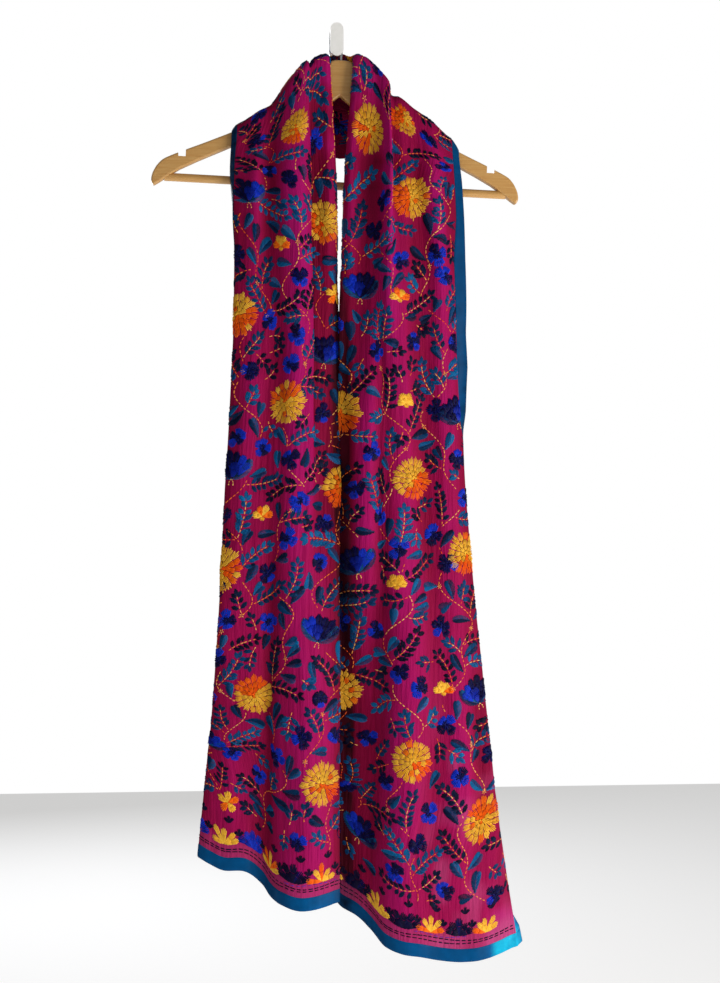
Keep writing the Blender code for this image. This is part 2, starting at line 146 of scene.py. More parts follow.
def fill(tree, filled, values):
    """Fills a node's inputs, by name or number: a value stays on the socket, an output is linked."""
    for name, value in values.items():
        if isinstance(value, bpy.types.NodeSocket):
            tree.links.new(value, filled.inputs[name])
        else:
            filled.inputs[name].default_value = value


def node(tree, kind, values=None, **settings):
    """Adds a node with its settings, and fills its inputs."""
    made = tree.nodes.new(kind)
    for name, value in settings.items():
        setattr(made, name, value)
    fill(tree, made, values or {})
    return made


def colour_steps(ramp, steps):
    """Sets a colour ramp from (place, hex) pairs, and gives its colour."""
    first_stop, last_stop = ramp.color_ramp.elements
    first_stop.position, first_stop.color = steps[0][0], linear(steps[0][1])
    last_stop.position, last_stop.color = steps[-1][0], linear(steps[-1][1])
    for place, hex_value in steps[1:-1]:
        ramp.color_ramp.elements.new(place).color = linear(hex_value)
    return ramp.outputs["Color"]


def new_material(name):
    """A material, what adds a node to its tree, and what fills its Principled shader's inputs."""
    made = bpy.data.materials.new(name)
    made.use_nodes = True
    tree = made.node_tree
    return made, partial(node, tree), partial(fill, tree, tree.nodes["Principled BSDF"])


print("Magenta dye as light:", [round(share, 3) for share in linear("96074A")])

# %% Floor
FLOOR_DROP = 330.0  # mm, from the lowest hem to the floor
FLOOR_HALF = 3.2  # m
floor_up = cad_box[0].z - FLOOR_DROP * MM
floor_mesh = bpy.data.meshes.new("floor")
corners = [(-1, -1), (1, -1), (1, 1), (-1, 1)]
floor_mesh.from_pydata(
    [(x * FLOOR_HALF, y * FLOOR_HALF, floor_up) for x, y in corners], [], [(0, 1, 2, 3)]
)
floor = new_object("floor", floor_mesh)
floor_paint, _, finish = new_material("matt white light table")
finish({
    "Base Color": linear("F6F5F3"), "Roughness": 0.9,
    "Emission Color": linear("FFFFFF"), "Emission Strength": 0.34,
})
floor_mesh.materials.append(floor_paint)
floor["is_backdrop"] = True
print("The floor lies %.0f mm below the lowest hem" % FLOOR_DROP)

# %% Room light and two lamps
ROOM_LIGHT = 0.29  # brightness of the room all round


def soft_lamp(name, place, target, side, power, hex_value):
    """A square area lamp, all in metres and watts."""
    light = bpy.data.lights.new(name, "AREA")
    light.shape = "SQUARE"
    light.size = side
    light.energy = power
    light.color = linear(hex_value)[:3]
    lamp = new_object(name, light)
    lamp.location = place
    lamp.rotation_euler = turned_to(Vector(target) - Vector(place))


world = bpy.data.worlds.new("studio")
bpy.context.scene.world = world
world.use_nodes = True
# The paper behind the shawl is white, but the room that lights it is dimmer, so the folds show
seen = node(world.node_tree, "ShaderNodeLightPath").outputs["Is Camera Ray"]
brightness = node(world.node_tree, "ShaderNodeMapRange", {"Value": seen, "To Min": ROOM_LIGHT, "To Max": 1.0})
fill(world.node_tree, world.node_tree.nodes["Background"], {
    "Color": linear("FFFFFF"), "Strength": brightness.outputs["Result"],
})
# Plain display colours keep the dyes as strong as they are
bpy.context.scene.view_settings.view_transform = "Standard"
soft_lamp("window on the right", (1.4, -1.05, -0.8), (0.05, -0.05, -0.6), 0.85, 26, "FFFAF4")
soft_lamp("window behind", (-0.6, 2.3, 0.3), (0.0, 0.0, -0.5), 1.2, 25, "F6F9FF")
print("The room is lit at %.2f of the paper's white" % ROOM_LIGHT)

# %% [markdown]
# ## The sheet
#
# Cloth bends but hardly stretches, so its shape is one smooth sheet and its edges are lines on it.
# A cloth simulation could fold it, but the folds of a shawl that was hung by hand are known: each
# table row is one fold line that runs the whole length of the cloth, and gives where it passes over
# the arm, and where it hangs at four heights and at the hem. These are the same lines as the solids'.

# %% Fold lines of the left half
# Each row, in mm from the neck's top: across and up behind the arm, across and up on its crest (None
# where the cloth rests on the wood), how far the brow in front stands out, then across and out at
# the upper, chest, waist and low levels, and across, out and up at the hem
LEFT_FOLDS = [
    (79, -78, 80, None, 10, 98, 10, 98, 11, 94, 11, 91, 11, 82, 12, -976),  # far edge
    (68, -71, 69, None, 10, 86, 10, 86, 10, 82, 12, 79, 11, 70, 13, -981),  # far seam
    (48, -54, 50, -43, 10, 53, 10, 53, 14, 50, 15, 48, 18, 43, 18, -998),  # far middle
    (26, -22, 28, -13, 10, 24, 10, 21, 11, 20, 14, 20, 18, 20, 19, -1008),  # far inner
    (13, 0, 15, 1, 12.5, 7, 14, 6, 15, 4.5, 20, 4, 24, 4, 26, -1011),  # inner fold
    (16, 6, 19, 7, 15.5, 15, 22, 14, 24, 11, 26, 12, 30, 12, 34, -1013),  # inner strip
    (28, 0, 30, 3, 15, 29, 16.5, 28, 16.5, 24, 20.5, 26, 38, 26, 42, -1016),  # pleat root
    (35, -10, 38, -6, 18, 43, 19.5, 42, 19.5, 33, 22, 39, 43, 40, 47, -1018),  # pleat inside
    (40, -5, 43, 1, 23, 38, 27, 36, 28, 39, 31, 52, 44, 55, 47, -1018),  # pleat lip
    (51, -20, 54, -13, 26, 50, 39, 48, 40, 52, 41, 65, 41, 69, 43, -1014),  # first ridge
    (66, -42, 69, -33, 23, 68, 36, 67, 37, 68, 38, 78, 31, 84, 31, -1007),  # ridge slope
    (82, -65, 84, -55, 18, 87, 21, 87, 20, 89, 20, 87, 20, 97, 20, -990),  # valley
    (98, -76, 101, -65, 19, 104, 28, 106, 30, 111, 30, 111, 29, 117, 30, -975),  # second ridge
    (109, -86, 112, -73, 17, 116, 22, 120, 24, 127, 23, 135, 31, 144, 32, -973),  # outer slope
    (117, -93, 119, -78, 15.5, 122, 19.5, 129, 20, 139, 18, 154, 21, 173, 22, -958),  # outer fold
    (121, -97, 123, -80, 14.5, 127, 16.5, 129, 13, 132, 11, 144, 13, 161, 14, -964),  # outer seam
    (130, -104, 132, None, 11, 134, 8, 122, 4, 120, 9, 132, 11, 149, 12, -968),  # outer edge
]
print("%d fold lines run the length of the cloth" % len(LEFT_FOLDS))

# %% The same lines on the right half
RIGHT_FOLDS = [
    (89, -87, 90, None, 10, 105, 10, 112, 11, 114, 11, 119, 11, 112, 12, -1074),
    (78, -80, 79, None, 10, 93, 10, 100, 11, 102, 11, 107, 11, 100, 12, -1071),
    (56, -63, 57, -53, 10, 59, 10, 61, 15, 63, 16, 66, 17, 61, 19, -1060),
    (28, -25, 30, -15, 10, 22, 10, 20, 10.5, 18, 10.5, 17, 10.5, 12, 10.5, -1030),
    (13, 0, 15, 1, 12.5, 4, 14, 0, 14, -2, 14, -6, 14.5, -6, 14.5, -1016),
    (16, 6, 19, 7, 16, 9, 23, 7, 24, 5, 21, 4, 22, 1, 22, -1024),
    (28, 0, 30, 3, 18, 24, 20, 24, 19, 24, 20, 24, 23, 20, 26, -1034),
    (41, -14, 43, -9, 19, 44, 24, 40, 22, 40, 22, 40, 26, 34, 29, -1047),
    (53, -31, 56, -24, 27, 57, 42, 53, 42, 53, 41, 58, 43, 50, 42, -1065),
    (56, -48, 59, -41, 20, 60, 29, 66, 37, 68, 38, 76, 47, 69, 47, -1073),
    (68, -55, 71, -44, 20, 73, 29, 81, 32, 84, 34, 96, 43, 91, 44, -1077),
    (83, -68, 86, -56, 19, 90, 23, 98, 22, 102, 22, 116, 31, 116, 33, -1083),
    (105, -86, 109, -72, 20, 110, 30, 117, 31, 124, 31, 136, 35, 145, 37, -1086),
    (118, -98, 121, -83, 18, 126, 22, 130, 22, 139, 23, 154, 28, 177, 28, -1083),
    (127, -106, 129, -90, 16, 132, 19, 137, 19, 148, 18, 172, 19, 205, 21, -1074),
    (131, -110, 133, -93, 15, 136, 17, 142, 17, 149, 13, 168, 13, 213, 16, -1072),
    (140, -117, 142, None, 11, 146, 11, 152, 11, 147, 2, 158, 7, 221, 7, -1069),
]
print("The right half's far corner hangs %.0f mm lower" % (LEFT_FOLDS[0][-1] - RIGHT_FOLDS[0][-1]))

# %% Behind the neck and over the arms
BEHIND_NECK = [  # up and back
    (-72, 11), (-60, 11), (-38, 11), (-9, 11), (5, 13.5), (5, 20), (-5, 21), (-17, 22), (-10, 27),
    (-28, 29), (-44, 27), (-60, 23), (-77, 27), (-91, 23), (-103, 22), (-107, 21), (-118, 19),
]
ARCH_SQUARENESS = 0.62  # of the cloth's arch over an arm: 1 is round, less is squarer
LEAN = 0.12  # share of the way to its place on the upper level that a line has gone at the arm
ARM_BACK = 0.95  # depth behind the arms, as a share of the depth behind the neck
LEVELS = (-147, -292, -508, -760)  # heights of the upper, chest, waist and low levels
WOOD_TOP = [
    (0, 0), (8, -0.6), (13.5, -3), (17, -11), (24, -27), (38, -43), (60, -58),
    (90, -75), (122.5, -91.5), (160, -108.5), (181, -117.5), (200, -126), (210, -131.5),
]
SEAT = 1.2  # mm, between the cloth and the arm that it bends over
SATIN_THICK = 1.8  # mm


def on_wood(across, side):
    """Height of a line of cloth that rests on the tilted arm, at mm across from the middle."""
    top = np.array(WOOD_TOP, float)
    tilted_across = top[:, 0] * cos(TILT) + side * top[:, 1] * sin(TILT)
    tilted_up = top[:, 1] * cos(TILT) - side * top[:, 0] * sin(TILT)
    return np.interp(across, tilted_across, tilted_up) + SEAT + SATIN_THICK / 2


def half_line(fold, behind_out, side):
    """Points of one fold line from the hem to just behind the arm; side is -1 left, 1 right."""
    rear_across, rear_up, crest_across, crest_up, brow_out, *levels, hem_across, hem_out, hem_up = fold
    if crest_up is None:
        crest_up = on_wood(crest_across, side)
    hanging = list(zip(levels[::2], levels[1::2], LEVELS))
    points = [(hem_across, hem_out, hem_up)] + hanging[::-1]
    lean = LEAN * (levels[0] - crest_across)
    slip = rear_across - crest_across
    for turn in (0.0, 0.25, 0.5, 0.75, 1.0):
        front = max(0.0, cos(turn * pi)) ** ARCH_SQUARENESS
        rear = max(0.0, -cos(turn * pi)) ** ARCH_SQUARENESS
        drop = brow_out if turn < 0.5 else crest_up - rear_up
        points.append((
            crest_across + lean * front + slip * rear,
            brow_out * front - ARM_BACK * behind_out * rear,
            crest_up - drop * (1.0 - sin(turn * pi) ** ARCH_SQUARENESS),
        ))
    return [(side * across, -out, up) for across, out, up in points]


columns_of_lines = []
for left, right, (up, back) in zip(LEFT_FOLDS, RIGHT_FOLDS, BEHIND_NECK):
    columns_of_lines.append(half_line(left, back, -1) + [(0.0, back, up)] + half_line(right, back, 1)[::-1])
fold_lines = np.array(columns_of_lines).transpose(1, 0, 2)
MIDDLE = len(fold_lines) // 2  # the station behind the neck
print("The lines pass through %d stations from hem to hem" % len(fold_lines))

# %% A round curve through points


def smooth_curve(points, at):
    """A round curve through points[k], read at each value of at (0 to n-1).

    points is (n, m, 3) for m curves side by side, and at is (s, m) or (s, 1). At each point the
    curve heads between its two neighbours, with a pull no longer than the nearer one."""
    count = len(points)
    steps = np.diff(points, axis=0)
    lengths = np.maximum(np.linalg.norm(steps, axis=2, keepdims=True), 1e-6)
    directions = steps / lengths
    headings = np.concatenate([directions[:1], directions[:-1] + directions[1:], directions[-1:]])
    headings /= np.maximum(np.linalg.norm(headings, axis=2, keepdims=True), 1e-6)
    nearer = np.minimum(lengths[:-1], lengths[1:])
    pulls = headings * np.concatenate([lengths[:1], nearer, lengths[-1:]])
    at = np.broadcast_to(at, (len(at), points.shape[1]))
    index = np.clip(at.astype(int), 0, count - 2)
    share = (at - index)[..., None]
    column = np.arange(points.shape[1])[None, :]
    start_weight = 2 * share**3 - 3 * share**2 + 1
    leave_weight = share**3 - 2 * share**2 + share
    arrive_weight = share**3 - share**2
    return (
        start_weight * points[index, column]
        + leave_weight * pulls[index, column]
        + (1 - start_weight) * points[index + 1, column]
        + arrive_weight * pulls[index + 1, column]
    )


first_hem = smooth_curve(fold_lines, np.zeros((1, 1)))[0]
print("The left hem is drawn through %d places" % len(first_hem))

# %% [markdown]
# ## Flat cloth and hung cloth
#
# An embroiderer works on flat cloth, so the stitches need flat coordinates: u across and v up from
# a hem, both in real millimetres. A lattice ties the two together. Each lattice point knows where
# it hangs, and how far it lies from the inner fold and from its hem when the cloth is spread out.
# Both halves are embroidered upwards from their own hem, so each half has its own flat frame.

# %% The lattice
FAR_SEAM, INNER_FOLD, FIRST_RIDGE, OUTER_SEAM = 1, 4, 9, 15  # rows of the tables, from 0
HEM_BAND = 16.0  # mm
ROW_STEP = 7.5  # mm between rows of the lattice
COLUMN_STEP = 2.8
HEM_ROWS = [0.0, 0.6, 2.0, 5.0, 8.0, 11.0, 13.4, 15.2, 16.0, 20.0]
EVEN_UNTIL, LEVEL_FROM = 80.0, 220.0  # mm: rows keep their distance from the hem, then level out


def fade(value, start, end):
    """From 0 at the start, and before it, to 1 at the end. The end may be the smaller value."""
    return np.clip((value - start) / (end - start), 0, 1)


def eased(share):
    """A share from 0 to 1 that starts and ends gently."""
    return share * share * (3 - 2 * share)


def row_stations(side):
    """Heights above one hem, and the station of every fold line at each of them."""
    reach = np.linspace(0, MIDDLE, 601)[:, None]
    stations = reach if side < 0 else len(fold_lines) - 1 - reach
    points = smooth_curve(fold_lines, stations)
    steps = np.linalg.norm(np.diff(points, axis=0), axis=2)
    travelled = np.concatenate([np.zeros((1, points.shape[1])), np.cumsum(steps, axis=0)])
    top = travelled[-1, FIRST_RIDGE]
    count = round((top - HEM_ROWS[-1]) / ROW_STEP)
    heights = np.concatenate([HEM_ROWS, np.linspace(HEM_ROWS[-1], top, count + 1)[1:]])
    level = np.interp(heights, travelled[:, FIRST_RIDGE], reach[:, 0])[:, None]
    even = np.array([np.interp(heights, line, reach[:, 0]) for line in travelled.T]).T
    stations = even + eased(fade(heights[:, None], EVEN_UNTIL, LEVEL_FROM)) * (level - even)
    return heights, stations if side < 0 else len(fold_lines) - 1 - stations


left_heights, left_stations = row_stations(-1)
right_heights, right_stations = row_stations(1)
rows = np.concatenate([left_stations, right_stations[-2::-1]])
HALFWAY = len(left_heights) - 1  # the row at the middle of the length
by_line = smooth_curve(fold_lines, rows)  # (rows, lines, 3)
widest = np.linalg.norm(np.diff(by_line, axis=1), axis=2).max(axis=0)
across = [0.0]
for interval, width in enumerate(widest):
    count = int(np.ceil(max(width, 4 * COLUMN_STEP) / COLUMN_STEP))
    across += [interval + step / count for step in range(1, count + 1)]
# From the outer edge to the far edge, so that u grows to the right of someone who faces the cloth
across = np.array(across[::-1])
hung = smooth_curve(by_line.transpose(1, 0, 2), across[:, None]).transpose(1, 0, 2)
print("The lattice has %d rows and %d columns" % hung.shape[:2])

# %% The cloth spread out
arc = np.linalg.norm(np.diff(hung, axis=1), axis=2)
arc = np.concatenate([np.zeros((len(hung), 1)), np.cumsum(arc, axis=1)], axis=1)
far_seam, inner_fold, outer_seam = (
    int(np.argmin(abs(across - line))) for line in (FAR_SEAM, INNER_FOLD, OUTER_SEAM)
)
flat_u = arc - arc[:, inner_fold : inner_fold + 1]
whole_length = left_heights[-1] + right_heights[-1]
flat_v = np.concatenate([left_heights, whole_length - right_heights[-2::-1]])
grid_v = flat_v[:, None] + 0 * flat_u
from_right_hem = whole_length - grid_v
from_hem = np.minimum(grid_v, from_right_hem)
on_left = (np.arange(len(rows)) <= HALFWAY)[:, None]  # which rows of the lattice hang on the left
on_right = ~on_left
print("Spread out, the cloth is %.0f by %.0f mm" % (arc[HALFWAY, -1], whole_length))

# %% [markdown]
# ## Creases and crinkle
#
# Crepe is woven from overtwisted yarn, so it is never quite flat: fine soft wrinkles run down its
# length. Larger troughs and ridges come from how it was folded and put away. A bump map would give
# the wrinkles no outline, so both are pushed into the lattice, and the stitches will lie in them.

# %% Soft random numbers and wrinkles
dice = np.random.default_rng(27)
NOISE_GRID = (97, 89)  # random values, repeated where the cloth runs past them
NOISE_START = 400  # cells, so that every place on the cloth counts from above 0


def soft_noise(u, v, cell_u, cell_v, seed):
    """Smooth random values from -1 to 1, which change over cell_u mm across and cell_v mm along."""
    grid = np.random.default_rng(seed).uniform(-1, 1, NOISE_GRID)
    place_u, place_v = u / cell_u + NOISE_START, v / cell_v + NOISE_START
    low_u, low_v = place_u.astype(int), place_v.astype(int)
    share_u, share_v = eased(place_u - low_u), eased(place_v - low_v)
    left, right = low_u % NOISE_GRID[0], (low_u + 1) % NOISE_GRID[0]
    lower, upper = (
        grid[left, line % NOISE_GRID[1]] * (1 - share_u) + grid[right, line % NOISE_GRID[1]] * share_u
        for line in (low_v, low_v + 1)
    )
    return lower * (1 - share_v) + upper * share_v


def crinkle(u, v):
    """The crepe's own wrinkles: fine and shallow, over broader and deeper ones."""
    total = 0.30 * soft_noise(u, v, 5.6, 60, 1) + 0.65 * soft_noise(u, v, 8.5, 95, 2)
    total += 0.85 * soft_noise(u + 0.05 * v, v, 15, 130, 3)
    total += 1.00 * soft_noise(u - 0.04 * v, v, 27, 190, 4)
    return total * (0.75 + 0.5 * soft_noise(u, v, 60, 120, 5))


depth = crinkle(flat_u, grid_v)
print("The crepe's own wrinkles reach %.1f mm" % abs(depth).max())

# %% Creases, listed one by one
# Ridges, and troughs with a height below 0, on each half: start u and v, end u and v, width and height
CREASES = {
    "left": [
        (-150, 60, -128, 420, 26, -2.4), (-118, 180, -104, 560, 20, 2.0), (-60, 40, -66, 330, 24, -2.2),
        (-100, 520, -88, 820, 22, -2.2), (-36, 300, -40, 700, 18, 1.8), (-140, 480, -122, 780, 24, 1.8),
        (-70, 690, -60, 960, 20, -2.0),
    ],
    "right": [
        (52, 50, 60, 380, 26, -2.4), (128, 30, 112, 300, 30, -2.8), (178, 60, 150, 360, 26, 2.2),
        (206, 40, 182, 330, 24, -2.4), (96, 330, 88, 720, 22, 2.0), (130, 420, 118, 820, 24, -2.4),
        (27, 300, 44, 860, 22, 6.0), (150, 700, 136, 1010, 20, 2.0),
    ],
}


def creased(u, v, half):
    """Height of the creases at flat places of one half."""
    total = np.zeros_like(u)
    for start_u, start_v, end_u, end_v, width, height in CREASES[half]:
        share = (v - start_v) / (end_v - start_v)
        middle = start_u + (end_u - start_u) * share + 4 * np.sin(share * 7 + start_u)
        faded_ends = np.clip(4 * share * (1 - share), 0, 1) ** 0.6
        away = np.clip(abs(u - middle) / width, 0, 1)
        total = total + height * faded_ends * np.cos(away * pi / 2) ** 2
    return total


depth += np.where(on_left, creased(flat_u, grid_v, "left"), creased(-flat_u, from_right_hem, "right"))
print("With the creases they reach from %.1f to %.1f mm" % (depth.min(), depth.max()))

# %% [markdown]
# ## How soft cloth gives way
#
# The solids hold the folds' main lines. Thin crepe gives way a little around them: the two halves
# swell to meet, their folds run together lower down, and each edge rolls over or hangs back. These
# places could be sculpted by hand, but that would have to be done again whenever a fold line moves.
# So each shift is a rule in millimetres, which fades in and out by height, across or by fold line.

# %% Where the halves meet
# How far each half swells towards the other, at heights from the neck's top, in mm
MEETING = [
    (-620, 0.0), (-556, 1.3), (-459, 2.0), (-338, 2.2), (-300, 2.0), (-270, 1.2), (-228, 0.8), (-150, 0.0),
]
NO_SWELL = 300  # mm to each side of the middle of the length
FOLD_REACH = 50.0  # mm
EVENED = {"left": 0.85, "right": 0.9}  # share of the folds that is smoothed out


def near(value, middle, reach):
    """1 at the middle, and less the further away."""
    return np.exp(-(((value - middle) / reach) ** 2))


depth_below = hung[..., 2].copy()
aside, back, up = np.moveaxis(hung, 2, 0)  # what is added to one of these moves the lattice
meet_heights, meet_widths = np.array(MEETING).T
swell = np.interp(depth_below, meet_heights, meet_widths) * near(flat_u, 0, 16)
swell[abs(flat_v - whole_length / 2) < NO_SWELL] = 0
aside += np.where(on_left, swell, -swell)
# Below the arms thin crepe hangs flatter than the solids do, so its folds are evened out by part
front = slice(outer_seam, inner_fold + 1)
window = np.hanning(2 * round(FOLD_REACH / COLUMN_STEP) + 3)
margin = len(window) // 2
level = np.pad(back[:, front], ((0, 0), (margin, margin)), mode="edge")
level = np.apply_along_axis(np.convolve, 1, level, window / window.sum(), "valid")
evened = fade(depth_below[:, front], -170, -330) * (back[:, front] < 0)
evened *= np.where(on_left, EVENED["left"], EVENED["right"])
back[:, front] += evened * (level - back[:, front])
# High up the left half's inner part hangs back in the other half's shade, low down the right half's
low_down = fade(depth_below, -540, -780)
inner_part = near(np.maximum(aside, 0), 0, 11 + 48 * low_down) * on_right
back += (3 + 13 * low_down) * inner_part * fade(depth_below, -330, -530)
inner_part = near(aside, 0, 16) * on_left * (back < -8)
back += 7 * inner_part * fade(depth_below, -200, -260) * fade(depth_below, -560, -440)
# Beside the slit the right half's folds merge into one soft roll
roll = fade(aside, 2, 15) * fade(aside, 56, 30) * fade(across, 4.2, 5.0)
roll = eased(roll) * on_right
back -= 10 * roll * fade(depth_below, -310, -430) * fade(depth_below, -730, -620)
print("The halves swell by up to %.1f mm to meet" % swell.max())

# %% Along the outer edges
# Low down the left half turns to its side
turned = fade(aside, -64, -144) * on_left
back += 9 * turned * fade(depth_below, -660, -780)
# The right half's satin edge shows a little more than the solids' does
shown = fade(depth_below, -190, -240) * fade(depth_below, -455, -425) * on_right
aside -= 5 * shown * near(across, OUTER_SEAM, 0.7)
aside += 4 * shown * fade(depth_below, -330, -370) * fade(across, 15.2, 16)
# Lower down the same edge rolls back out of sight, and comes forward again at the corner of the hem
rolled = fade(depth_below, -800, -870) * fade(from_right_hem, 20, 44) * on_right
aside -= 8.5 * rolled * fade(across, OUTER_SEAM, 15.9)
back += 5 * rolled * fade(across, OUTER_SEAM, 15.9)
# Under the left arm less of the satin edge shows
by_arm = on_left * fade(depth_below, -225, -195) * fade(aside, -105, -115)
aside -= 2.5 * by_arm * near(across, OUTER_SEAM, 0.7)
print("The right edge rolls back over %d rows" % rolled.any(axis=1).sum())

# %% Over the shoulders and behind the neck
NECK_LIFT, EDGE_LIFT = 6.5, 30  # mm that the cloth, and its hidden edge, stand up behind the neck
OUTER_DROP, TURNED_UNDER = 9, 34  # mm that its outer part sinks, and that its outer edge is turned
by_neck = near(aside, 0, 32) * (back > 0)
up += NECK_LIFT * by_neck * near(aside, 0, 17) * near(across, 4.6, 2.4)
up += EDGE_LIFT * by_neck * fade(across, 3.4, 0.8)
up -= OUTER_DROP * by_neck * fade(across, 10, 14.5)
# The left shoulder's small pleat lies flatter
shoulder = on_left * fade(depth_below, -18, -8)
up += shoulder * (2.5 * near(aside, -36.5, 4) - 4.0 * near(aside, -44, 6))
# The outer edge is turned under
turned_under = by_neck * fade(across, 14.5, 16)
up += TURNED_UNDER * turned_under
back += 7 * np.minimum(3 * turned_under, 1)
print("The edge behind the neck is turned under by up to %.0f mm" % (TURNED_UNDER * turned_under.max()))

# %% Push the wrinkles into the sheet
STRETCHED = 0.6  # share of the wrinkles that dies out behind the neck and over the arms


def lattice_normals(points):
    """Unit normals on the cloth's right side."""
    normals = np.cross(np.gradient(points, axis=1), np.gradient(points, axis=0))
    return normals / np.maximum(np.linalg.norm(normals, axis=2, keepdims=True), 1e-9)


taut = STRETCHED * fade(from_hem, 900, 1020)
hung = hung + lattice_normals(hung) * (depth * (1 - taut))[..., None] + NECK
normals = lattice_normals(hung)
print("The shawl hangs from %.0f to %.0f mm" % (hung[..., 2].max(), hung[..., 2].min()))

# %% [markdown]
# ## Crepe and satin
#
# The crepe is one length from hem to hem, so it is one mesh: a right side, a wrong side, and a rim
# that closes them. The satin is sewn over its edges, and bulges a little where it is turned over. A
# Solidify modifier could thicken the sheet, but the satin's thickness follows a rule of its own, so
# a small helper builds every shell. A woven material reads the flat coordinates as its UV map, so
# its threads follow the folds. Each place also keeps how far it stands out, and from that the colour
# has painted shade in valleys and painted light on ridges.

# %% Painted shade and light by relief, and paler places
CLOTH_CELL = 4.0  # mm across, and twice that down, of the grid that the front is compared on
CELLS = (130, 150)
GRID_LEFT, GRID_TOP = -260, 20  # mm
FOLD_HEIGHT = 22  # mm, from a typical valley to a ridge
DARKEST = -0.12  # deepest painted shade of the relief, which runs from 0 in a valley to 1 on a ridge


def standing_out(reach):
    """How far each place on the front stands out from what hangs within reach mm to its sides."""
    across_cell = ((hung[..., 0] - GRID_LEFT) / CLOTH_CELL).astype(int)
    down_cell = ((GRID_TOP - hung[..., 2]) / (2 * CLOTH_CELL)).astype(int)
    in_front = normals[..., 1] < -0.1
    out = np.full(CELLS, -1e9)
    np.maximum.at(out, (across_cell[in_front], down_cell[in_front]), -hung[..., 1][in_front])
    known = out > -1e8
    window = np.hanning(2 * int(reach / CLOTH_CELL) + 3)
    total, weight = (
        np.apply_along_axis(np.convolve, 0, values, window, "same")
        for values in (np.where(known, out, 0), known.astype(float))
    )
    mean = (total / np.maximum(weight, 1e-6))[across_cell, down_cell]
    return np.where(in_front, -hung[..., 1] - mean, 0)


# Painted shade in valleys and painted light on ridges, by how far each place stands out, with
# more painted shade where the halves meet and a painted shadow down the slit between them
from_neck = hung[..., 0] - NECK[0]
painted_meeting_shade = near(from_neck, -1, 13) * fade(depth_below, -230, -290)
slit = near(from_neck, 1.5, 5) * fade(depth_below, -290, -350)
painted_shade_and_light = np.clip(0.5 + standing_out(48) / FOLD_HEIGHT - 0.6 * painted_meeting_shade - 0.5 * slit, DARKEST, 1)
# Painted shade on the satin edge under the left arm
painted_shade_and_light = np.maximum(painted_shade_and_light - 0.8 * by_arm * (across > 14.9), DARKEST)
# Paler: single cloth at the hems, painted sheen in patches low on the right, painted light on the sunlit
# corner
sunlit = fade(-flat_u, 212, 228) * fade(from_right_hem, 60, 20)
low_right = fade(from_right_hem, 330, 210) * fade(-flat_u, 100, 160)
sheen_patches = np.clip(soft_noise(flat_u, grid_v, 22, 30, 8) * 1.6 - 0.3, 0, 1)
paler_and_painted_sheen = np.clip(0.4 * fade(from_hem, 38, 33) + 0.55 * low_right * sheen_patches + 0.6 * sunlit, 0, 1)
# Painted light: the sunlit outer corner is also lighter in the relief
painted_shade_and_light = painted_shade_and_light + sunlit
print("Relief runs from %.2f to %.2f" % (painted_shade_and_light.min(), painted_shade_and_light.max()))

# %% A helper for cloth shells


def keep_values(mesh, name, values):
    """Keeps a number, or a vector, with each point of a mesh."""
    kind, field = ("FLOAT", "value") if values.ndim == 1 else ("FLOAT_VECTOR", "vector")
    attribute = mesh.attributes.new(name, kind, "POINT")
    attribute.data.foreach_set(field, values.astype(np.float32).ravel())


def shell(name, row_slice, column_slice, thickness, shares=1.0):
    """A closed shell on part of the lattice. thickness is in mm, and shares thins it."""
    part = (row_slice, column_slice)
    half = np.broadcast_to(thickness / 2 * shares, flat_u[part].shape)[..., None]
    sides = [hung[part] + normals[part] * half, hung[part] - normals[part] * half]
    index = np.arange(half.size).reshape(half.shape[:2])
    a, b = index[:-1, :-1].ravel(), index[:-1, 1:].ravel()
    c, d = index[1:, 1:].ravel(), index[1:, :-1].ravel()
    rim = np.concatenate([index[0], index[1:, -1], index[-1, -2::-1], index[-2:0:-1, 0]])
    after = np.roll(rim, -1)
    quads = [
        np.stack([a, b, c, d], 1), np.stack([d, c, b, a], 1) + half.size,
        np.stack([rim, rim + half.size, after + half.size, after], 1),
    ]
    mesh = bpy.data.meshes.new(name)
    corners = np.concatenate([side.reshape(-1, 3) for side in sides]) * MM
    mesh.from_pydata(corners.tolist(), [], np.concatenate(quads).tolist())
    flat = np.stack([flat_u[part], grid_v[part]], 2).reshape(-1, 2) * MM
    corner_index = np.empty(len(mesh.loops), np.int32)
    mesh.loops.foreach_get("vertex_index", corner_index)
    layer = mesh.uv_layers.new(name="flat")
    layer.uv.foreach_set("vector", flat[corner_index % half.size].astype(np.float32).ravel())
    for key, values in (("relief_shade", painted_shade_and_light), ("paler_and_sheen", paler_and_painted_sheen)):
        keep_values(mesh, key, np.tile(values[part].ravel(), 2))
    mesh.shade_smooth()
    return new_object(name, mesh)


print("A shell has two sides of up to %d places each" % flat_u.size)

# %% Magenta crepe
# Silk crepe: matt, with a faint pebbled surface and a soft pink bloom where it turns from the eye
CREPE_PEBBLE = 1.5 * MM  # real crepe's is about 0.6 mm, drawn coarser so that it shows
STREAK = (4 * MM, 45 * MM)  # the fine crinkle between its wrinkles, across and along
DYE_BLOT = 55 * MM  # how far apart the dye took a little more and a little less
crepe, add, finish = new_material("piece-dyed magenta silk crepe")
flat_place = add("ShaderNodeUVMap", uv_map="flat").outputs["UV"]
relief_shade = add("ShaderNodeAttribute", attribute_name="relief_shade").outputs["Fac"]
blot = add("ShaderNodeTexNoise", {"Vector": flat_place, "Scale": 1 / DYE_BLOT, "Detail": 3.0})
shaded = add("ShaderNodeMath", {0: blot.outputs["Fac"], 1: 0.3, 2: relief_shade}, operation="MULTIPLY_ADD")
# The ramp paints shade and light: darkest in valleys and where the halves meet, lightest on ridges
dye = colour_steps(
    add("ShaderNodeValToRGB", {"Fac": shaded.outputs[0]}),
    [(0.0, "30030F"), (0.15, "660224"), (0.45, "820334"), (0.7, "96074A"), (0.95, "A20C61")],
)
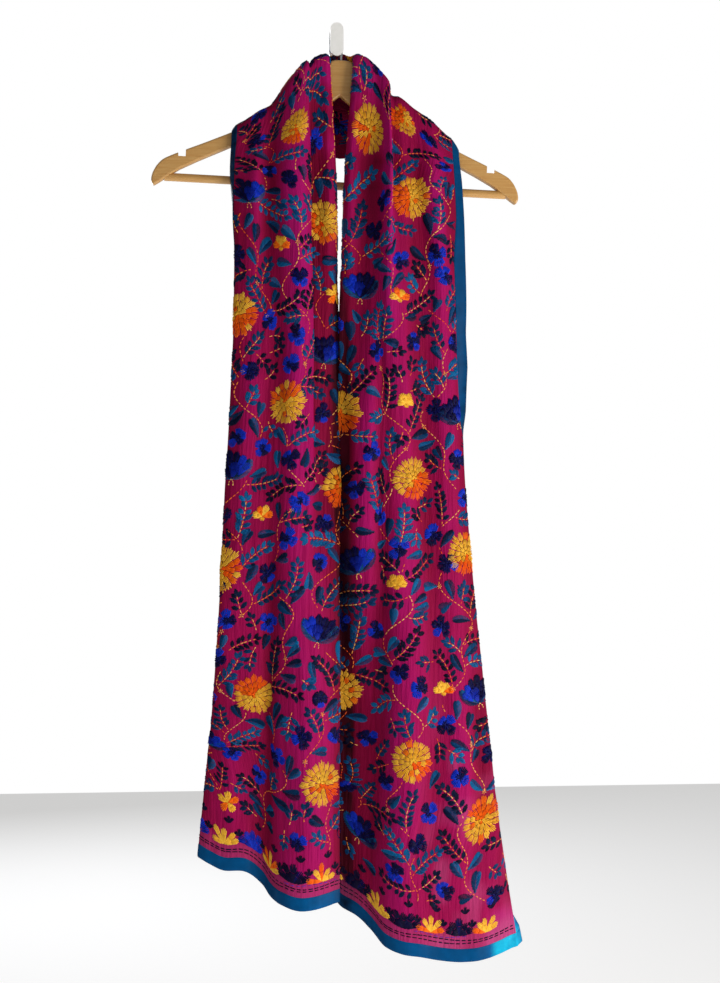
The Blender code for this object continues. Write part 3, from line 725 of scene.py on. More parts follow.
# Single cloth below the border is paler, and so are the painted sheen patches and the painted light on the
# sunlit corner
paler_and_sheen = add("ShaderNodeAttribute", attribute_name="paler_and_sheen").outputs["Fac"]
dye = add("ShaderNodeMix", {"Factor": paler_and_sheen, "A": dye, "B": linear("AE3E74")}, data_type="RGBA")
streaks = add("ShaderNodeMapping", {"Vector": flat_place, "Scale": (1 / STREAK[0], 1 / STREAK[1], 1.0)})
streaks = add("ShaderNodeTexNoise", {"Vector": streaks.outputs[0], "Scale": 1.0, "Detail": 2.0})
crinkled = add("ShaderNodeBump", {"Height": streaks.outputs["Fac"], "Strength": 0.9, "Distance": 2.0 * MM})
pebble = add("ShaderNodeTexNoise", {"Vector": flat_place, "Scale": 1 / CREPE_PEBBLE, "Detail": 2.0})
pebbled = add("ShaderNodeBump", {
    "Height": pebble.outputs["Fac"], "Strength": 0.5, "Distance": 0.4 * MM,
    "Normal": crinkled.outputs["Normal"],
})
finish({
    "Base Color": dye.outputs["Result"], "Normal": pebbled.outputs["Normal"], "Roughness": 0.7,
    "Specular IOR Level": 0.07, "Sheen Weight": 0.04, "Sheen Roughness": 0.4, "Sheen Tint": linear("F05A9C"),
})
print("Crepe pebble", CREPE_PEBBLE / MM, "mm")

# %% Teal satin
# Polyester satin ribbon of long smooth floats, with painted light where it turns out and painted shade in its
# valleys, and ripples where it is sewn
SATIN_FLOAT = 0.9 * MM  # real floats lie about 0.1 mm apart, drawn coarser so that they show
SATIN_RIPPLE = 14 * MM
satin, add, finish = new_material("teal satin binding")
flat_place = add("ShaderNodeUVMap", uv_map="flat").outputs["UV"]
relief_shade = add("ShaderNodeAttribute", attribute_name="relief_shade").outputs["Fac"]
ripple = add("ShaderNodeTexNoise", {"Vector": flat_place, "Scale": 1 / SATIN_RIPPLE, "Detail": 2.0})
ripple = add("ShaderNodeMath", {0: ripple.outputs["Fac"], 1: 0.3}, operation="MULTIPLY").outputs[0]
lit = add("ShaderNodeMath", {0: relief_shade, 1: 0.5, 2: ripple}, operation="MULTIPLY_ADD")
# Painted shade at the foot of the ramp, painted light at its top on ridges and the sunlit corner
teal = colour_steps(
    add("ShaderNodeValToRGB", {"Fac": lit.outputs[0]}),
    [(0.02, "00142C"), (0.2, "003A66"), (0.4, "004678"), (0.6, "00548E"), (0.95, "14B8DE")],
)
floats = add("ShaderNodeTexNoise", {"Vector": flat_place, "Scale": 1 / SATIN_FLOAT, "Detail": 1.0})
ribbed = add("ShaderNodeBump", {"Height": floats.outputs["Fac"], "Strength": 0.35, "Distance": 0.3 * MM})
finish({
    "Base Color": teal, "Normal": ribbed.outputs["Normal"], "Roughness": 0.36, "Specular IOR Level": 0.05,
    "Sheen Weight": 0.02, "Sheen Tint": linear("40C8F0"),
})
print("Satin float", SATIN_FLOAT / MM, "mm")

# %% The cloth
CREPE_THICK = 0.9  # mm
STRETCHES = ("left_front", "back", "right_front")  # the solids that one length of cloth stands for
CREPE_HEM = 13.4  # mm, the lattice row under the hem's satin where the crepe ends
hem_rows, under_hem = HEM_ROWS.index(HEM_BAND), HEM_ROWS.index(CREPE_HEM)
pieces = {}


def finish_piece(piece, material, replaced):
    """Gives a piece its material and its body, and hides the solids that it stands for."""
    piece.data.materials.clear()
    piece.data.materials.append(material)
    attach(piece, "root")
    if replaced:
        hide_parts(*replaced)
    pieces[piece.name] = piece


seam_to_seam = slice(outer_seam - 1, far_seam + 2)  # and a little way under the satin
cloth = shell("crepe_length", slice(under_hem, -under_hem), seam_to_seam, CREPE_THICK)
finish_piece(cloth, crepe, ["shawl_" + stretch for stretch in STRETCHES])
print("The crepe has %d faces" % len(cloth.data.polygons))

# %% Its satin edges


def turned_edge(count, open_side):
    """Shares of thickness over count places: round at the turned edge, thinner at the seam."""
    share = np.linspace(0, 1, count)
    share = share if open_side == "first" else share[::-1]
    return np.clip(0.35 + 2.6 * share, 0, 1) * np.clip(0.55 + 3.0 * (1 - share), 0, 1)


between_hems = slice(hem_rows, -hem_rows)
for name, columns, side in (
    ("outer", slice(0, outer_seam + 1), "first"),
    ("far", slice(far_seam, None), "last"),
):
    shares = turned_edge(len(across[columns]), side)
    edge = shell(name + "_satin_binding", between_hems, columns, SATIN_THICK, shares)
    finish_piece(edge, satin, ["%s_binding_%s" % (name, stretch) for stretch in STRETCHES])
for name, hem, side in (
    ("left", slice(0, hem_rows + 1), "first"),
    ("right", slice(-hem_rows - 1, None), "last"),
):
    shares = turned_edge(hem_rows + 1, side)[:, None] * np.ones((1, len(across)))
    shares[:, [0, -1]] *= 0.5
    band = shell("hem_satin_" + name, hem, slice(None), SATIN_THICK, shares)
    finish_piece(band, satin, ["hem_band_" + name])
for piece in pieces.values():
    print("%-20s %6d faces" % (piece.name, len(piece.data.polygons)))

# %% [markdown]
# ## Silk floss
#
# Phulkari means flower work: untwisted silk floss in long satin stitches that lie side by side, so
# that every petal shines as one. A painted pattern could not catch the light like that, so each
# stitch here is a small solid: a thread that is pointed where it enters the cloth and round on top.
# Satin stitches fill, and running stitches draw. Both are the same thread at different sizes.

# %% The box of threads
FAMILIES = ("gold", "blue", "teal", "vine")
LONGEST = 12.0  # mm: a longer stitch would bridge the folds, so it is worked as two or three
OVERLAP = 1.16  # of the parts of one long stitch
stitches = {half: {family: [] for family in FAMILIES} for half in ("left", "right")}


def moved(place, heading, distance):
    """The flat place at a distance from another, along a heading."""
    return place[0] + distance * np.cos(heading), place[1] + distance * np.sin(heading)


def sew(half, family, u, v, turn, length, width, shade, height=0.75, lift=0.0):
    """Adds straight stitches by their middles, their turn from the u axis and their sizes, in mm."""
    values = np.broadcast_arrays(u, v, turn, length, width, height, shade, lift)
    values = np.stack([np.asarray(value, float).ravel() for value in values])
    parts = np.ceil(values[3] / LONGEST).astype(int)
    for count in np.unique(parts):
        chosen = values[:, parts == count]
        for number in range(count):
            part = chosen.copy()
            along = ((number + 0.5) / count - 0.5) * chosen[3]
            part[0], part[1] = moved(chosen, chosen[2], along)
            part[3] *= (1.0 if count == 1 else OVERLAP) / count
            stitches[half][family].append(part)


print("Thread families:", ", ".join(FAMILIES))

# %% Strands side by side


def side_by_side(count):
    """Even places from -1 to 1 for the strands of a petal."""
    return (np.arange(count) + 0.5) / count * 2 - 1


def fan(
    half, family, place, heading, spread, inner, outer, count, shade, lift=0.0, scallop=0.16, fullness=1.2
):
    """Satin stitches side by side that spread from a place, as in one petal."""
    side = side_by_side(count)
    turn = heading + side * spread / 2
    tip = outer * (1 - scallop * side**2) * (1 + dice.uniform(-0.06, 0.06, count))
    root = inner * (1 + dice.uniform(-0.1, 0.1, count))
    width = float(np.clip(fullness * spread * (0.4 * inner + 0.6 * outer) / count, 0.8, 2.2))
    shades = shade + dice.uniform(-0.07, 0.07, count)
    u, v = moved(place, turn, (tip + root) / 2)
    sew(half, family, u, v, turn, tip - root, width, shades, lift=lift + 0.12 * (1 - abs(side)))


def petal(half, family, base, heading, length, breadth, shade, count, lift=0.0, flare=1.0):
    """Strands side by side that start at a base, the middle one longest. Without flare it is a lens."""
    side = side_by_side(count)
    strand = length * (1 - (0.8 - 0.3 * flare) * side**2) * (1 + dice.uniform(-0.06, 0.06, count))
    u, v = moved(base, heading, length * 0.5 * (1 + 0.1 * flare * side**2))
    u, v = moved((u, v), heading + pi / 2, side * breadth * 0.42)
    tilt = 0.9 * flare * side * breadth / length
    shades = shade + dice.uniform(-0.08, 0.08, count)
    sew(half, family, u, v, heading + tilt * 0.5, strand, 1.35 * breadth / count, shades, lift=lift)


print("Five strands lie at", side_by_side(5).round(1))

# %% Stitches along a line


def curved(base, heading, length, bend, shares):
    """Places and headings along an even bend that starts at base."""
    fine = np.linspace(0, 1, 33)
    turns = heading + bend * (fine - 0.3)
    step = length / (len(fine) - 1)
    u = base[0] + np.concatenate([[0], np.cumsum(np.cos(turns[:-1]) * step)])
    v = base[1] + np.concatenate([[0], np.cumsum(np.sin(turns[:-1]) * step)])
    return tuple(np.interp(shares, fine, values) for values in (u, v, turns))


def running(half, family, u, v, shade, stitch=4.2, gap=1.2, width=1.5):
    """Running stitches along a line of flat places."""
    travelled = np.concatenate([[0], np.cumsum(np.hypot(np.diff(u), np.diff(v)))])
    middles = np.arange(stitch / 2, travelled[-1], stitch + gap)
    if not len(middles):
        return
    middles = middles + dice.uniform(-0.4, 0.4, len(middles))
    lengths = stitch * (1 + dice.uniform(-0.2, 0.2, len(middles)))
    start_u, middle_u, end_u = (np.interp(middles + end * lengths, travelled, u) for end in (-0.5, 0, 0.5))
    start_v, middle_v, end_v = (np.interp(middles + end * lengths, travelled, v) for end in (-0.5, 0, 0.5))
    turn = np.arctan2(end_v - start_v, end_u - start_u)
    shades = shade + dice.uniform(-0.25, 0.25, len(middles))
    sew(half, family, middle_u, middle_v, turn, lengths, width, shades, height=0.7)


print("A bent stem of 40 mm ends at u, v and turn", np.round(curved((0, 0), pi / 2, 40, 0.5, 1), 1))

# %% [markdown]
# ## Flowers
#
# The big marigolds are shingled: an outer ring of petal clusters, two more over its roots, and a
# small heart. Each flower is golden, with a run of neighbouring petals in orange. The blue lotus
# opens upwards from a cup of two teal leaves. Small flowers have four or five plain lobes. One of
# each could be drawn and copied, but no two worked flowers are alike, so each is a recipe with dice.

# %% Marigolds
UP = pi / 2
Ring = namedtuple("Ring", "inner outer clusters strands lift")
MARIGOLD_RINGS = [
    Ring(15.8, 26.5, 17, 5, 0.0), Ring(9.2, 18.0, 13, 4, 0.4),
    Ring(3.8, 11.4, 8, 4, 0.8), Ring(0.4, 5.6, 5, 3, 1.2),
]


def marigold(half, place, size=1.0):
    """A golden marigold with a run of orange petals. size 1 is 53 mm across."""
    orange_at, orange_reach = dice.uniform(0, 2 * pi), dice.uniform(0.5, 1.3)
    for ring in MARIGOLD_RINGS:
        offset = dice.uniform(0, 2 * pi)
        spread = 2 * pi / ring.clusters
        for number in range(ring.clusters):
            heading = offset + number * spread
            away = abs((heading - orange_at + pi) % (2 * pi) - pi)
            shade = 0.85 if away < orange_reach else 0.2
            if dice.random() < 0.08:
                shade = 0.95 - shade
            outer = ring.outer * size * (1 + dice.uniform(-0.05, 0.05))
            shade += dice.uniform(-0.1, 0.1)
            fan(half, "gold", place, heading, spread * 0.88, ring.inner * size, outer,
                ring.strands, shade, ring.lift, scallop=0.1, fullness=1.02)


print("A marigold takes %d stitches" % sum(ring.clusters * ring.strands for ring in MARIGOLD_RINGS))

# %% Small flowers
BLUE_REACH, YELLOW_REACH = 13.8, 13.5  # mm, from a small flower's middle to its tips
BLUE_BREADTHS = 52.0  # mm, of all the lobes of a blue flower together


def blue_flower(half, place):
    """Four or five royal blue lobes, some of them brighter."""
    count = int(dice.integers(4, 6))
    start = dice.uniform(0, 2 * pi)
    bright = dice.random(count) < 0.5
    for number in range(count):
        heading = start + (number + dice.uniform(-0.12, 0.12)) * 2 * pi / count
        length = BLUE_REACH * dice.uniform(0.78, 1.08)
        shade = 0.88 if bright[number] else 0.32
        petal(half, "blue", place, heading, length, BLUE_BREADTHS / count, shade, 7)
    fan(half, "blue", place, start, 5.5, 0.3, BLUE_REACH * 0.4, 8, 0.35, lift=0.5)


def yellow_flower(half, place):
    """Four lobes over a short base, or five lobes all round."""
    if dice.random() < 0.5:
        for turn in (-1.35, -0.45, 0.45, 1.35):
            length = YELLOW_REACH * dice.uniform(0.85, 1.1)
            petal(half, "gold", place, UP + turn, length, 8.5, dice.choice([0.15, 0.25, 0.8]), 5)
        fan(half, "gold", place, -UP, 2.0, 0.5, YELLOW_REACH * 0.4, 5, 0.3)
    else:
        for turn in np.arange(5) * 2 * pi / 5:
            shade = 0.8 if dice.random() < 0.3 else 0.2
            petal(half, "gold", place, UP + turn, YELLOW_REACH, 8.5, shade, 5)


print("Small flowers are %.0f mm across" % (2 * BLUE_REACH))

# %% Leaves and sprigs
SLANT = 0.72  # of a leaf's stitches to its midrib
LEAF_STEP = 1.75  # mm along the midrib, from stitch to stitch
PAIR_STEP = 7.6  # mm along a sprig's stem, from one pair of leaflets to the next


def leaf(half, base, heading, length, breadth, shade, bend):
    """Two rows of slanted satin stitches that meet on a midrib; one row is lighter."""
    count = max(4, round(length / LEAF_STEP))
    shares = (np.arange(count) + 0.3) / count
    *rib, rib_turn = curved(base, heading, length, bend, shares)
    reach = breadth / 2 * np.sin(pi * shares**0.85) ** 0.65 / sin(SLANT) + 1.4
    light = 0.16 if dice.random() < 0.5 else -0.16
    for side in (-1, 1):
        turn = rib_turn + side * SLANT
        u, v = moved(rib, turn, reach / 2 - 0.8)
        shades = shade + side * light + dice.uniform(-0.08, 0.08, count)
        sew(half, "teal", u, v, turn, reach, 1.4, shades, lift=0.08 * (side + 1))


def sprig(half, base, heading, length, shade, bend, leaflet, vine_shade):
    """A running-stitch stem with small leaflets in pairs, and one at its tip."""
    count = max(2, round(length / PAIR_STEP))
    shares = (np.arange(count) + 0.7) / count
    stem_u, stem_v, stem_turn = curved(base, heading, length, bend, np.linspace(0, 1, 9))
    running(half, "vine", stem_u, stem_v, vine_shade)
    for u, v, turn, share in zip(*curved(base, heading, length, bend, shares), shares):
        for side in (-1, 1):
            slant = turn + side * dice.uniform(0.6, 1.1)
            reach = leaflet * (1.1 - 0.3 * share) * dice.uniform(0.8, 1.15)
            own_shade, root = shade + dice.uniform(-0.14, 0.14), moved((u, v), slant, 0.8)
            petal(half, "teal", root, slant, reach, 0.5 * leaflet, own_shade, 4, flare=0.0)
    tip = (stem_u[-1], stem_v[-1])
    petal(half, "teal", tip, stem_turn[-1], leaflet * 0.9, 0.46 * leaflet, shade, 4, flare=0.0)


print("The stitches of a leaf slant by %.0f degrees" % np.degrees(SLANT))

# %% The lotus, and a small star
STAR_REACH = 3.4  # mm
CUP = 16  # mm, from the middle of a lotus down to its foot


def star(half, place):
    """A cream knot of five or six tiny stitches where vines branch."""
    count = int(dice.integers(5, 7))
    turn = dice.uniform(0, pi) + np.arange(count) * 2 * pi / count
    shades = 0.85 + dice.uniform(-0.2, 0.1, count)
    sew(half, "vine", *moved(place, turn, STAR_REACH * 0.55), turn, STAR_REACH * 0.8, 1.1, shades)


def lotus(half, place):
    """A blue lotus: a fan of navy petals, brighter on one side, and a cup of two teal leaves."""
    heading = UP + dice.uniform(-0.35, 0.35)
    foot = moved(place, heading, -CUP)
    for side in (-1, 1):
        leaf(half, foot, heading + side * 0.95, 34, 12, 0.62, -side * 1.1)
    lit_side = dice.choice([-1, 1])
    for side in (-1, -0.6, -0.2, 0.2, 0.6, 1):
        shade = 0.9 if side * lit_side > 0.5 else 0.32
        length = (27 - 5 * abs(side)) * dice.uniform(0.85, 1.1)
        root = moved(foot, heading + side, 9)
        petal(half, "blue", root, heading + side * 0.75, length, 8.5, shade, 6, 0.3)
    fan(half, "blue", foot, heading + 0.25 * lit_side, 1.0, 3, 21, 14, 0.75, 0.75, scallop=0.25)
    fan(half, "blue", foot, heading - 0.5 * lit_side, 0.8, 1.0, 15, 9, 0.35, 1.0)
    for side in (-1, 1):
        u, v, _ = curved(foot, heading + pi + side * 0.5, 9, -side * 1.2, np.linspace(0, 1, 6))
        running(half, "vine", u, v, 0.8, stitch=2.4, gap=0.5)


print("A lotus stands on a foot %d mm below its middle" % CUP)

# %% [markdown]
# ## Where the flowers go
#
# The large flowers were drawn on the cloth first, and everything else was worked around them. They
# could be scattered by chance, but their rhythm down the cloth is what one sees from across a room,
# so they are listed: u is counted from the inner fold and v from the hem, and a third
# number is a size. Above each hem runs a border of small upward fans.

# %% Flowers, listed one by one
FLOWERS = {
    "left": {
        marigold: [
            (-66, 930, 0.82), (-23, 820), (-161, 704), (-85, 599), (1, 499), (-208, 405), (-118, 250),
            (-28, 146),
        ],
        lotus: [(-147, 847), (-21, 663), (-153, 524), (-27, 329), (-200, 168)],
        yellow_flower: [(-103, 783), (-110, 464), (-167, 82), (-8, 730), (-78, 1010)],
        blue_flower: [
            (-78, 680), (-118, 697), (-83, 644), (-149, 558), (-30, 246), (-155, 153), (-124, 126),
            (-59, 80), (-115, 545), (-75, 532), (-22, 455), (-165, 385), (-98, 398), (-150, 345),
            (-85, 866), (-110, 880), (-122, 945), (-30, 905), (-99, 1102),
        ],
    },
    "right": {
        marigold: [
            (29, 968, 0.8), (109, 905), (94, 1004, 0.7), (3, 648), (101, 567), (176, 477), (8, 312),
            (100, 230), (198, 162),
        ],
        lotus: [(31, 800), (22, 470), (186, 312), (39, 110), (165, 650)],
        yellow_flower: [(88, 783), (93, 657), (80, 440), (142, 312)],
        blue_flower: [
            (140, 834), (137, 650), (84, 335), (145, 273), (127, 170), (66, 200), (118, 132), (150, 810),
            (45, 870), (130, 500), (148, 465), (50, 720), (22, 555), (186, 545), (50, 385), (140, 390),
            (205, 235), (160, 85), (226, 72), (108, 318), (130, 1000), (60, 905),
        ],
    },
}
FLOWER_ROOM = {marigold: 27.0, lotus: 26.0, yellow_flower: 13.0, blue_flower: 13.5}  # mm
print("By hand:", {half: sum(map(len, kinds.values())) for half, kinds in FLOWERS.items()})

# %% Each half's own flat frame
half_length = {"left": left_heights[-1], "right": right_heights[-1]}
# The lattice as each half sees it: u and v of its points, and where they hang with normals
both = np.concatenate([hung, normals], axis=2)
flat_frames = {
    "left": (flat_u, flat_v, both),
    "right": (-flat_u[::-1, ::-1], whole_length - flat_v[::-1], both[::-1, ::-1]),
}


def u_of_line(half, v, column):
    """u of one column of the left's lattice, or its mirror on the right, at heights v."""
    u_grid, v_rows, _ = flat_frames[half]
    return np.interp(v, v_rows, u_grid[:, column if half == "left" else -column - 1])


def seams_at(half, v):
    """u of the two long seams at heights v, the lower one first."""
    seams = [u_of_line(half, v, column) for column in (outer_seam, far_seam)]
    return seams if half == "left" else seams[::-1]


print("Between its seams the cloth is %.0f mm wide" % np.diff(seams_at("left", 600)).item())

# %% Which cells of the cloth are worked
CELL = 2.0  # mm
ROOM_U, ROOM_V = 300, 640  # cells to each side of the inner fold, and up from the hem
OVERRUN = 9.0  # mm: the satin is sewn on last, over whatever runs past the seams
BORDER_TOP = 62  # mm above the hem: the vines start there


def cells(u, v, reach):
    """Index arrays of the grid cells within reach of some places."""
    count = int(np.ceil(reach / CELL))
    step = np.arange(-count, count + 1) * CELL
    over, up = np.meshgrid(step, step, indexing="ij")
    close = np.hypot(over, up) <= reach
    all_u = (np.atleast_1d(u)[:, None] + over[close][None]) / CELL + ROOM_U
    all_v = (np.atleast_1d(v)[:, None] + up[close][None]) / CELL
    return np.clip(all_u.astype(int), 0, 2 * ROOM_U - 1), np.clip(all_v.astype(int), 0, ROOM_V - 1)


def is_bare(half, u, v, reach):
    """Whether no cell within reach of these places is worked."""
    return not worked[half][cells(u, v, reach)].any()


def mark(half, u, v, reach):
    worked[half][cells(u, v, reach)] = True


worked = {}
for half in stitches:
    cell_u = ((np.arange(2 * ROOM_U) - ROOM_U + 0.5) * CELL)[:, None]
    cell_v = (np.arange(ROOM_V) + 0.5) * CELL
    low, high = seams_at(half, cell_v)
    bare = (cell_u > low - OVERRUN) & (cell_u < high + OVERRUN)
    worked[half] = ~(bare & (cell_v > BORDER_TOP) & (cell_v < half_length[half] + 2))
print("Bare cells:", {half: int((~grid).sum()) for half, grid in worked.items()})

# %% Work the large and small flowers
# What the folds hide has its flowers at random: how many of each, and how far apart in mm
HIDDEN_FLOWERS = ((marigold, 12, 82), (lotus, 8, 74), (blue_flower, 40, 44), (yellow_flower, 14, 60))
FOLD_MARGIN, NECK_MARGIN = 12, 1060  # mm of u past the inner fold, and of v, that are in sight
flowers = {half: [] for half in stitches}
for half, kinds in FLOWERS.items():
    for recipe, places in kinds.items():
        for u, v, *size in places:
            low, high = seams_at(half, v)
            room = FLOWER_ROOM[recipe]
            u = float(np.clip(u, low + 0.5 * room, high - 0.5 * room))
            recipe(half, (u, v), *size)
            mark(half, u, v, room)
            flowers[half].append((u, v, room))
for half in stitches:
    for recipe, wanted, apart in HIDDEN_FLOWERS:
        room = FLOWER_ROOM[recipe]
        for attempt in range(wanted * 30):
            v = dice.uniform(70, half_length[half] - 20)
            u = dice.uniform(*seams_at(half, v))
            in_sight = (u < FOLD_MARGIN if half == "left" else u > -FOLD_MARGIN) and v < NECK_MARGIN
            if in_sight and recipe in (marigold, lotus):
                continue
            gaps = [hypot(u - x, v - y) - other for x, y, other in flowers[half] if other >= room - 1]
            if wanted and min(gaps, default=99) > apart - room and is_bare(half, u, v, room + 1):
                recipe(half, (u, v))
                mark(half, u, v, room)
                flowers[half].append((u, v, room))
                wanted -= 1
print("Flowers:", {half: len(found) for half, found in flowers.items()})

# %% The border above each hem
BORDER_HEIGHT = 32.0  # mm above the hem, where the fans stand
BORDER_STEP = 36.0
LINE_HEIGHTS = (22.4, 26.0)
for half in stitches:
    low, high = (float(edge) for edge in seams_at(half, BORDER_HEIGHT))
    line = np.arange(low + 3, high - 3, 1.5)
    for height in LINE_HEIGHTS:
        wave = height + 0.6 * np.sin(line / 21 + height)
        running(half, "blue", line, wave, 0.05, stitch=6.4, gap=0.8, width=1.9)
    for start, end in ((-75, -8), (118, 190)):
        short = line[(line > start) & (line < end)]
        if len(short) > 3:
            running(half, "blue", short, 29.5 + np.sin(short / 9), 0.95, stitch=5.5, gap=1.5, width=0.8)
    for number, u in enumerate(np.arange(low + 14, high - 10, BORDER_STEP)):
        foot = (u + dice.uniform(-1.5, 1.5), BORDER_HEIGHT)
        if number % 2:
            for heading in UP + np.array([-1.3, -0.7, 0.0, 0.65, 1.3]) + dice.uniform(-0.1, 0.1, 5):
                shade = 0.85 if dice.random() < 0.3 else 0.15
                petal(half, "gold", foot, heading, dice.uniform(16, 22), 6.6, shade, 5)
        else:
            shade = 0.8 if dice.random() < 0.3 else 0.24
            for heading in UP + np.linspace(-1.2, 1.2, 5):
                length = dice.uniform(17, 24)
                petal(half, "blue", foot, heading, length, 8.5, shade + dice.uniform(-0.12, 0.12), 5)
        for over, above in ((-BORDER_STEP / 2, 9), (8, 25)):
            spot = (u + over + dice.uniform(-2, 2), BORDER_HEIGHT + above)
            for turn in (-0.7, 0.0, 0.7):
                petal(half, "blue", spot, UP + turn, 10.0 - 2 * abs(turn), 3.8, 0.12, 3)
print("The border fans stand %.0f mm above the hem" % BORDER_HEIGHT)

# %% [markdown]
# ## Vines, leaves and sprigs
#
# Vines wander up the cloth between the flowers, and every branch fills a space that is still bare.
# The worker never lets two motifs touch, so a grid remembers which cells are worked already. The
# dice are seeded, so the cloth is the same each time.

# %% Branches
SPRIG_SHADES = [0.05, 0.14, 0.42, 0.62, 0.78]
LEAF_SHARE = 0.42  # of the branches are tried as a leaf first


def try_leaf(half, base, heading):
    """Works a leaf if there is room for it."""
    length, breadth = dice.uniform(16, 26), dice.uniform(9.5, 13.5)
    bend = dice.uniform(-0.5, 0.5)
    u, v, _ = curved(base, heading, length, bend, [0.3, 0.6, 0.9])
    if not is_bare(half, u, v, breadth * 0.4):
        return False
    leaf(half, base, heading, length, breadth, dice.uniform(0.28, 0.86), bend)
    mark(half, *curved(base, heading, length, bend, [0.2, 0.5, 0.8])[:2], breadth * 0.48)
    return True


def try_sprig(half, base, heading, longest=44, clear=5.0):
    """Works the longest sprig that there is room for, if any."""
    bend = dice.uniform(-0.9, 0.9)
    for length in (longest, longest * 0.7, longest * 0.45):
        u, v, _ = curved(base, heading, length + 6, bend, np.linspace(0.3, 1, 6))
        if is_bare(half, u, v, clear):
            shade = dice.choice(SPRIG_SHADES)
            sprig(half, base, heading, length, shade, bend, dice.uniform(10.5, 13.0), dice.uniform(0.2, 0.9))
            mark(half, *curved(base, heading, length + 5, bend, np.linspace(0.1, 1, 10))[:2], 6.0)
            return True
    return False


def branch(half, base, heading):
    """Works a leaf or a sprig, whichever the dice and the room allow."""
    tries = [try_leaf, try_sprig] if dice.random() < LEAF_SHARE else [try_sprig, try_leaf]
    return tries[0](half, base, heading) or tries[1](half, base, heading + dice.uniform(-0.3, 0.3))


def sewn_count(half, families):
    return sum(part.shape[1] for family in families for part in stitches[half][family])


print("Before the vines:", {half: sewn_count(half, FAMILIES) for half in stitches}, "stitches")

# %% Grow the vines
VINES = 4
VINE_STEP = 3.0  # mm
BRANCH_EVERY = 8.0
STAR_SHARE = 0.05  # of the branching places have a star


def unbroken(numbers):
    """Splits rising whole numbers wherever one is left out."""
    return np.split(numbers, np.flatnonzero(np.diff(numbers) > 1) + 1)


for half in stitches:
    for vine in range(VINES):
        v = np.arange(66, half_length[half] - 8, VINE_STEP)
        low, high = seams_at(half, v)
        u = low + (high - low) * ((vine + 0.5) / VINES)
        u = u + 17 * np.sin(v / 27 + 2.1 * vine) + 9 * np.sin(v / 11 + vine)
        inside = (u > low - 4) & (u < high + 4)
        for piece in unbroken(np.flatnonzero(inside)):
            if len(piece) < 4:
                continue
            for run in unbroken(piece[[is_bare(half, u[k], v[k], 1.0) for k in piece]]):
                if len(run) >= 4:
                    running(half, "vine", u[run], v[run], dice.uniform(0.05, 0.75))
                    mark(half, u[run], v[run], 1.0)
        for at in np.arange(4, len(v) - 3, BRANCH_EVERY / VINE_STEP):
            spot = int(at + dice.uniform(-1, 1))
            if not inside[spot]:
                continue
            along = atan2(v[spot + 2] - v[spot - 2], u[spot + 2] - u[spot - 2])
            side = 1 if dice.random() < 0.5 else -1
            for turn in (side, -side):
                heading = along + turn * dice.uniform(0.7, 1.4)
                branch(half, moved((u[spot], v[spot]), heading, 2.5), heading)
            if dice.random() < STAR_SHARE:
                star(half, (u[spot], v[spot]))
print("With the vines:", {half: sewn_count(half, FAMILIES) for half in stitches}, "stitches")

# %% Fill the spaces that are left
SPRIGS_UNTIL, SMALL_SPRIGS_FROM, LEAVES_UNTIL, ATTEMPTS = 5000, 6000, 7500, 9000
for half in stitches:
    for attempt in range(ATTEMPTS):
        v = dice.uniform(64, half_length[half])
        low, high = seams_at(half, v)
        u = dice.uniform(low - 6, high + 6)
        heading = dice.uniform(0, 2 * pi)
        if not is_bare(half, u, v, 4.0):
            continue
        if attempt < SPRIGS_UNTIL:
            try_sprig(half, (u, v), heading, 36)
        elif attempt < LEAVES_UNTIL and try_leaf(half, (u, v), heading):
            continue
        elif attempt > SMALL_SPRIGS_FROM:
            try_sprig(half, (u, v), heading, 22, 4.4)
for family in FAMILIES:
    print("%-5s left %5d, right %5d" % (family, *(sewn_count(half, [family]) for half in stitches)))
print("Worked share of the left half: %.2f" % worked["left"].mean())

# %% [markdown]
# ## One thread, thousands of times
#
# Geometry Nodes put the thread at every place and scale it to its stitch. The tree has inputs for
# the thread's fullness, for how uneven the hand is, and for the finish. Its result is made real,
# turned into a plain mesh, and only then draped over the hung cloth.

# %% The thread
SHOULDER = 0.36  # from its middle to where the round part ends, as a share of its length
POINT = 0.1  # height of its pointed ends, as a share of its height
corners = [(-0.5, 0, POINT)]
for end in (-SHOULDER, SHOULDER):
    corners += [(end, -0.5, 0), (end, 0.5, 0), (end, 0, 1)]
corners.append((0.5, 0, POINT))
thread_mesh = bpy.data.meshes.new("floss stitch")
thread_mesh.from_pydata(corners, [], [
    (1, 4, 6, 3), (5, 2, 3, 6), (1, 2, 5, 4), (0, 1, 3), (0, 3, 2), (0, 2, 1),
    (7, 6, 4), (7, 5, 6), (7, 4, 5),
])
thread_mesh.shade_smooth()
strand_layer = thread_mesh.uv_layers.new(name="strand")
for loop in thread_mesh.loops:
    corner = thread_mesh.vertices[loop.vertex_index].co
    strand_layer.uv[loop.index].vector = (corner.x + 0.5, corner.y * 0.5 + 0.5)
thread = bpy.data.objects.new("floss stitch", thread_mesh)
print("One thread has %d faces" % len(thread_mesh.polygons))

# %% The tree that places it
tree = bpy.data.node_groups.new("stitches", "GeometryNodeTree")
tree.interface.new_socket("Geometry", in_out="OUTPUT", socket_type="NodeSocketGeometry")
tree_inputs = {}
for name, kind in (
    ("Geometry", "Geometry"), ("Thread", "Object"), ("Thread Width", "Float"), ("Thread Height", "Float"),
    ("Unevenness", "Float"), ("Seed", "Int"), ("Finish", "Material"),
):
    socket = tree.interface.new_socket(name, in_out="INPUT", socket_type="NodeSocket" + kind)
    tree_inputs[name] = socket.identifier
add = partial(node, tree)
given = add("NodeGroupInput").outputs
size = add("GeometryNodeInputNamedAttribute", {"Name": "size"}, data_type="FLOAT_VECTOR").outputs[0]
turn = add("GeometryNodeInputNamedAttribute", {"Name": "turn"}, data_type="FLOAT").outputs[0]
least = add("ShaderNodeMath", {0: 1.0, 1: given["Unevenness"]}, operation="SUBTRACT").outputs[0]
uneven = add("FunctionNodeRandomValue", {"Min": least, "Seed": given["Seed"]}).outputs["Value"]
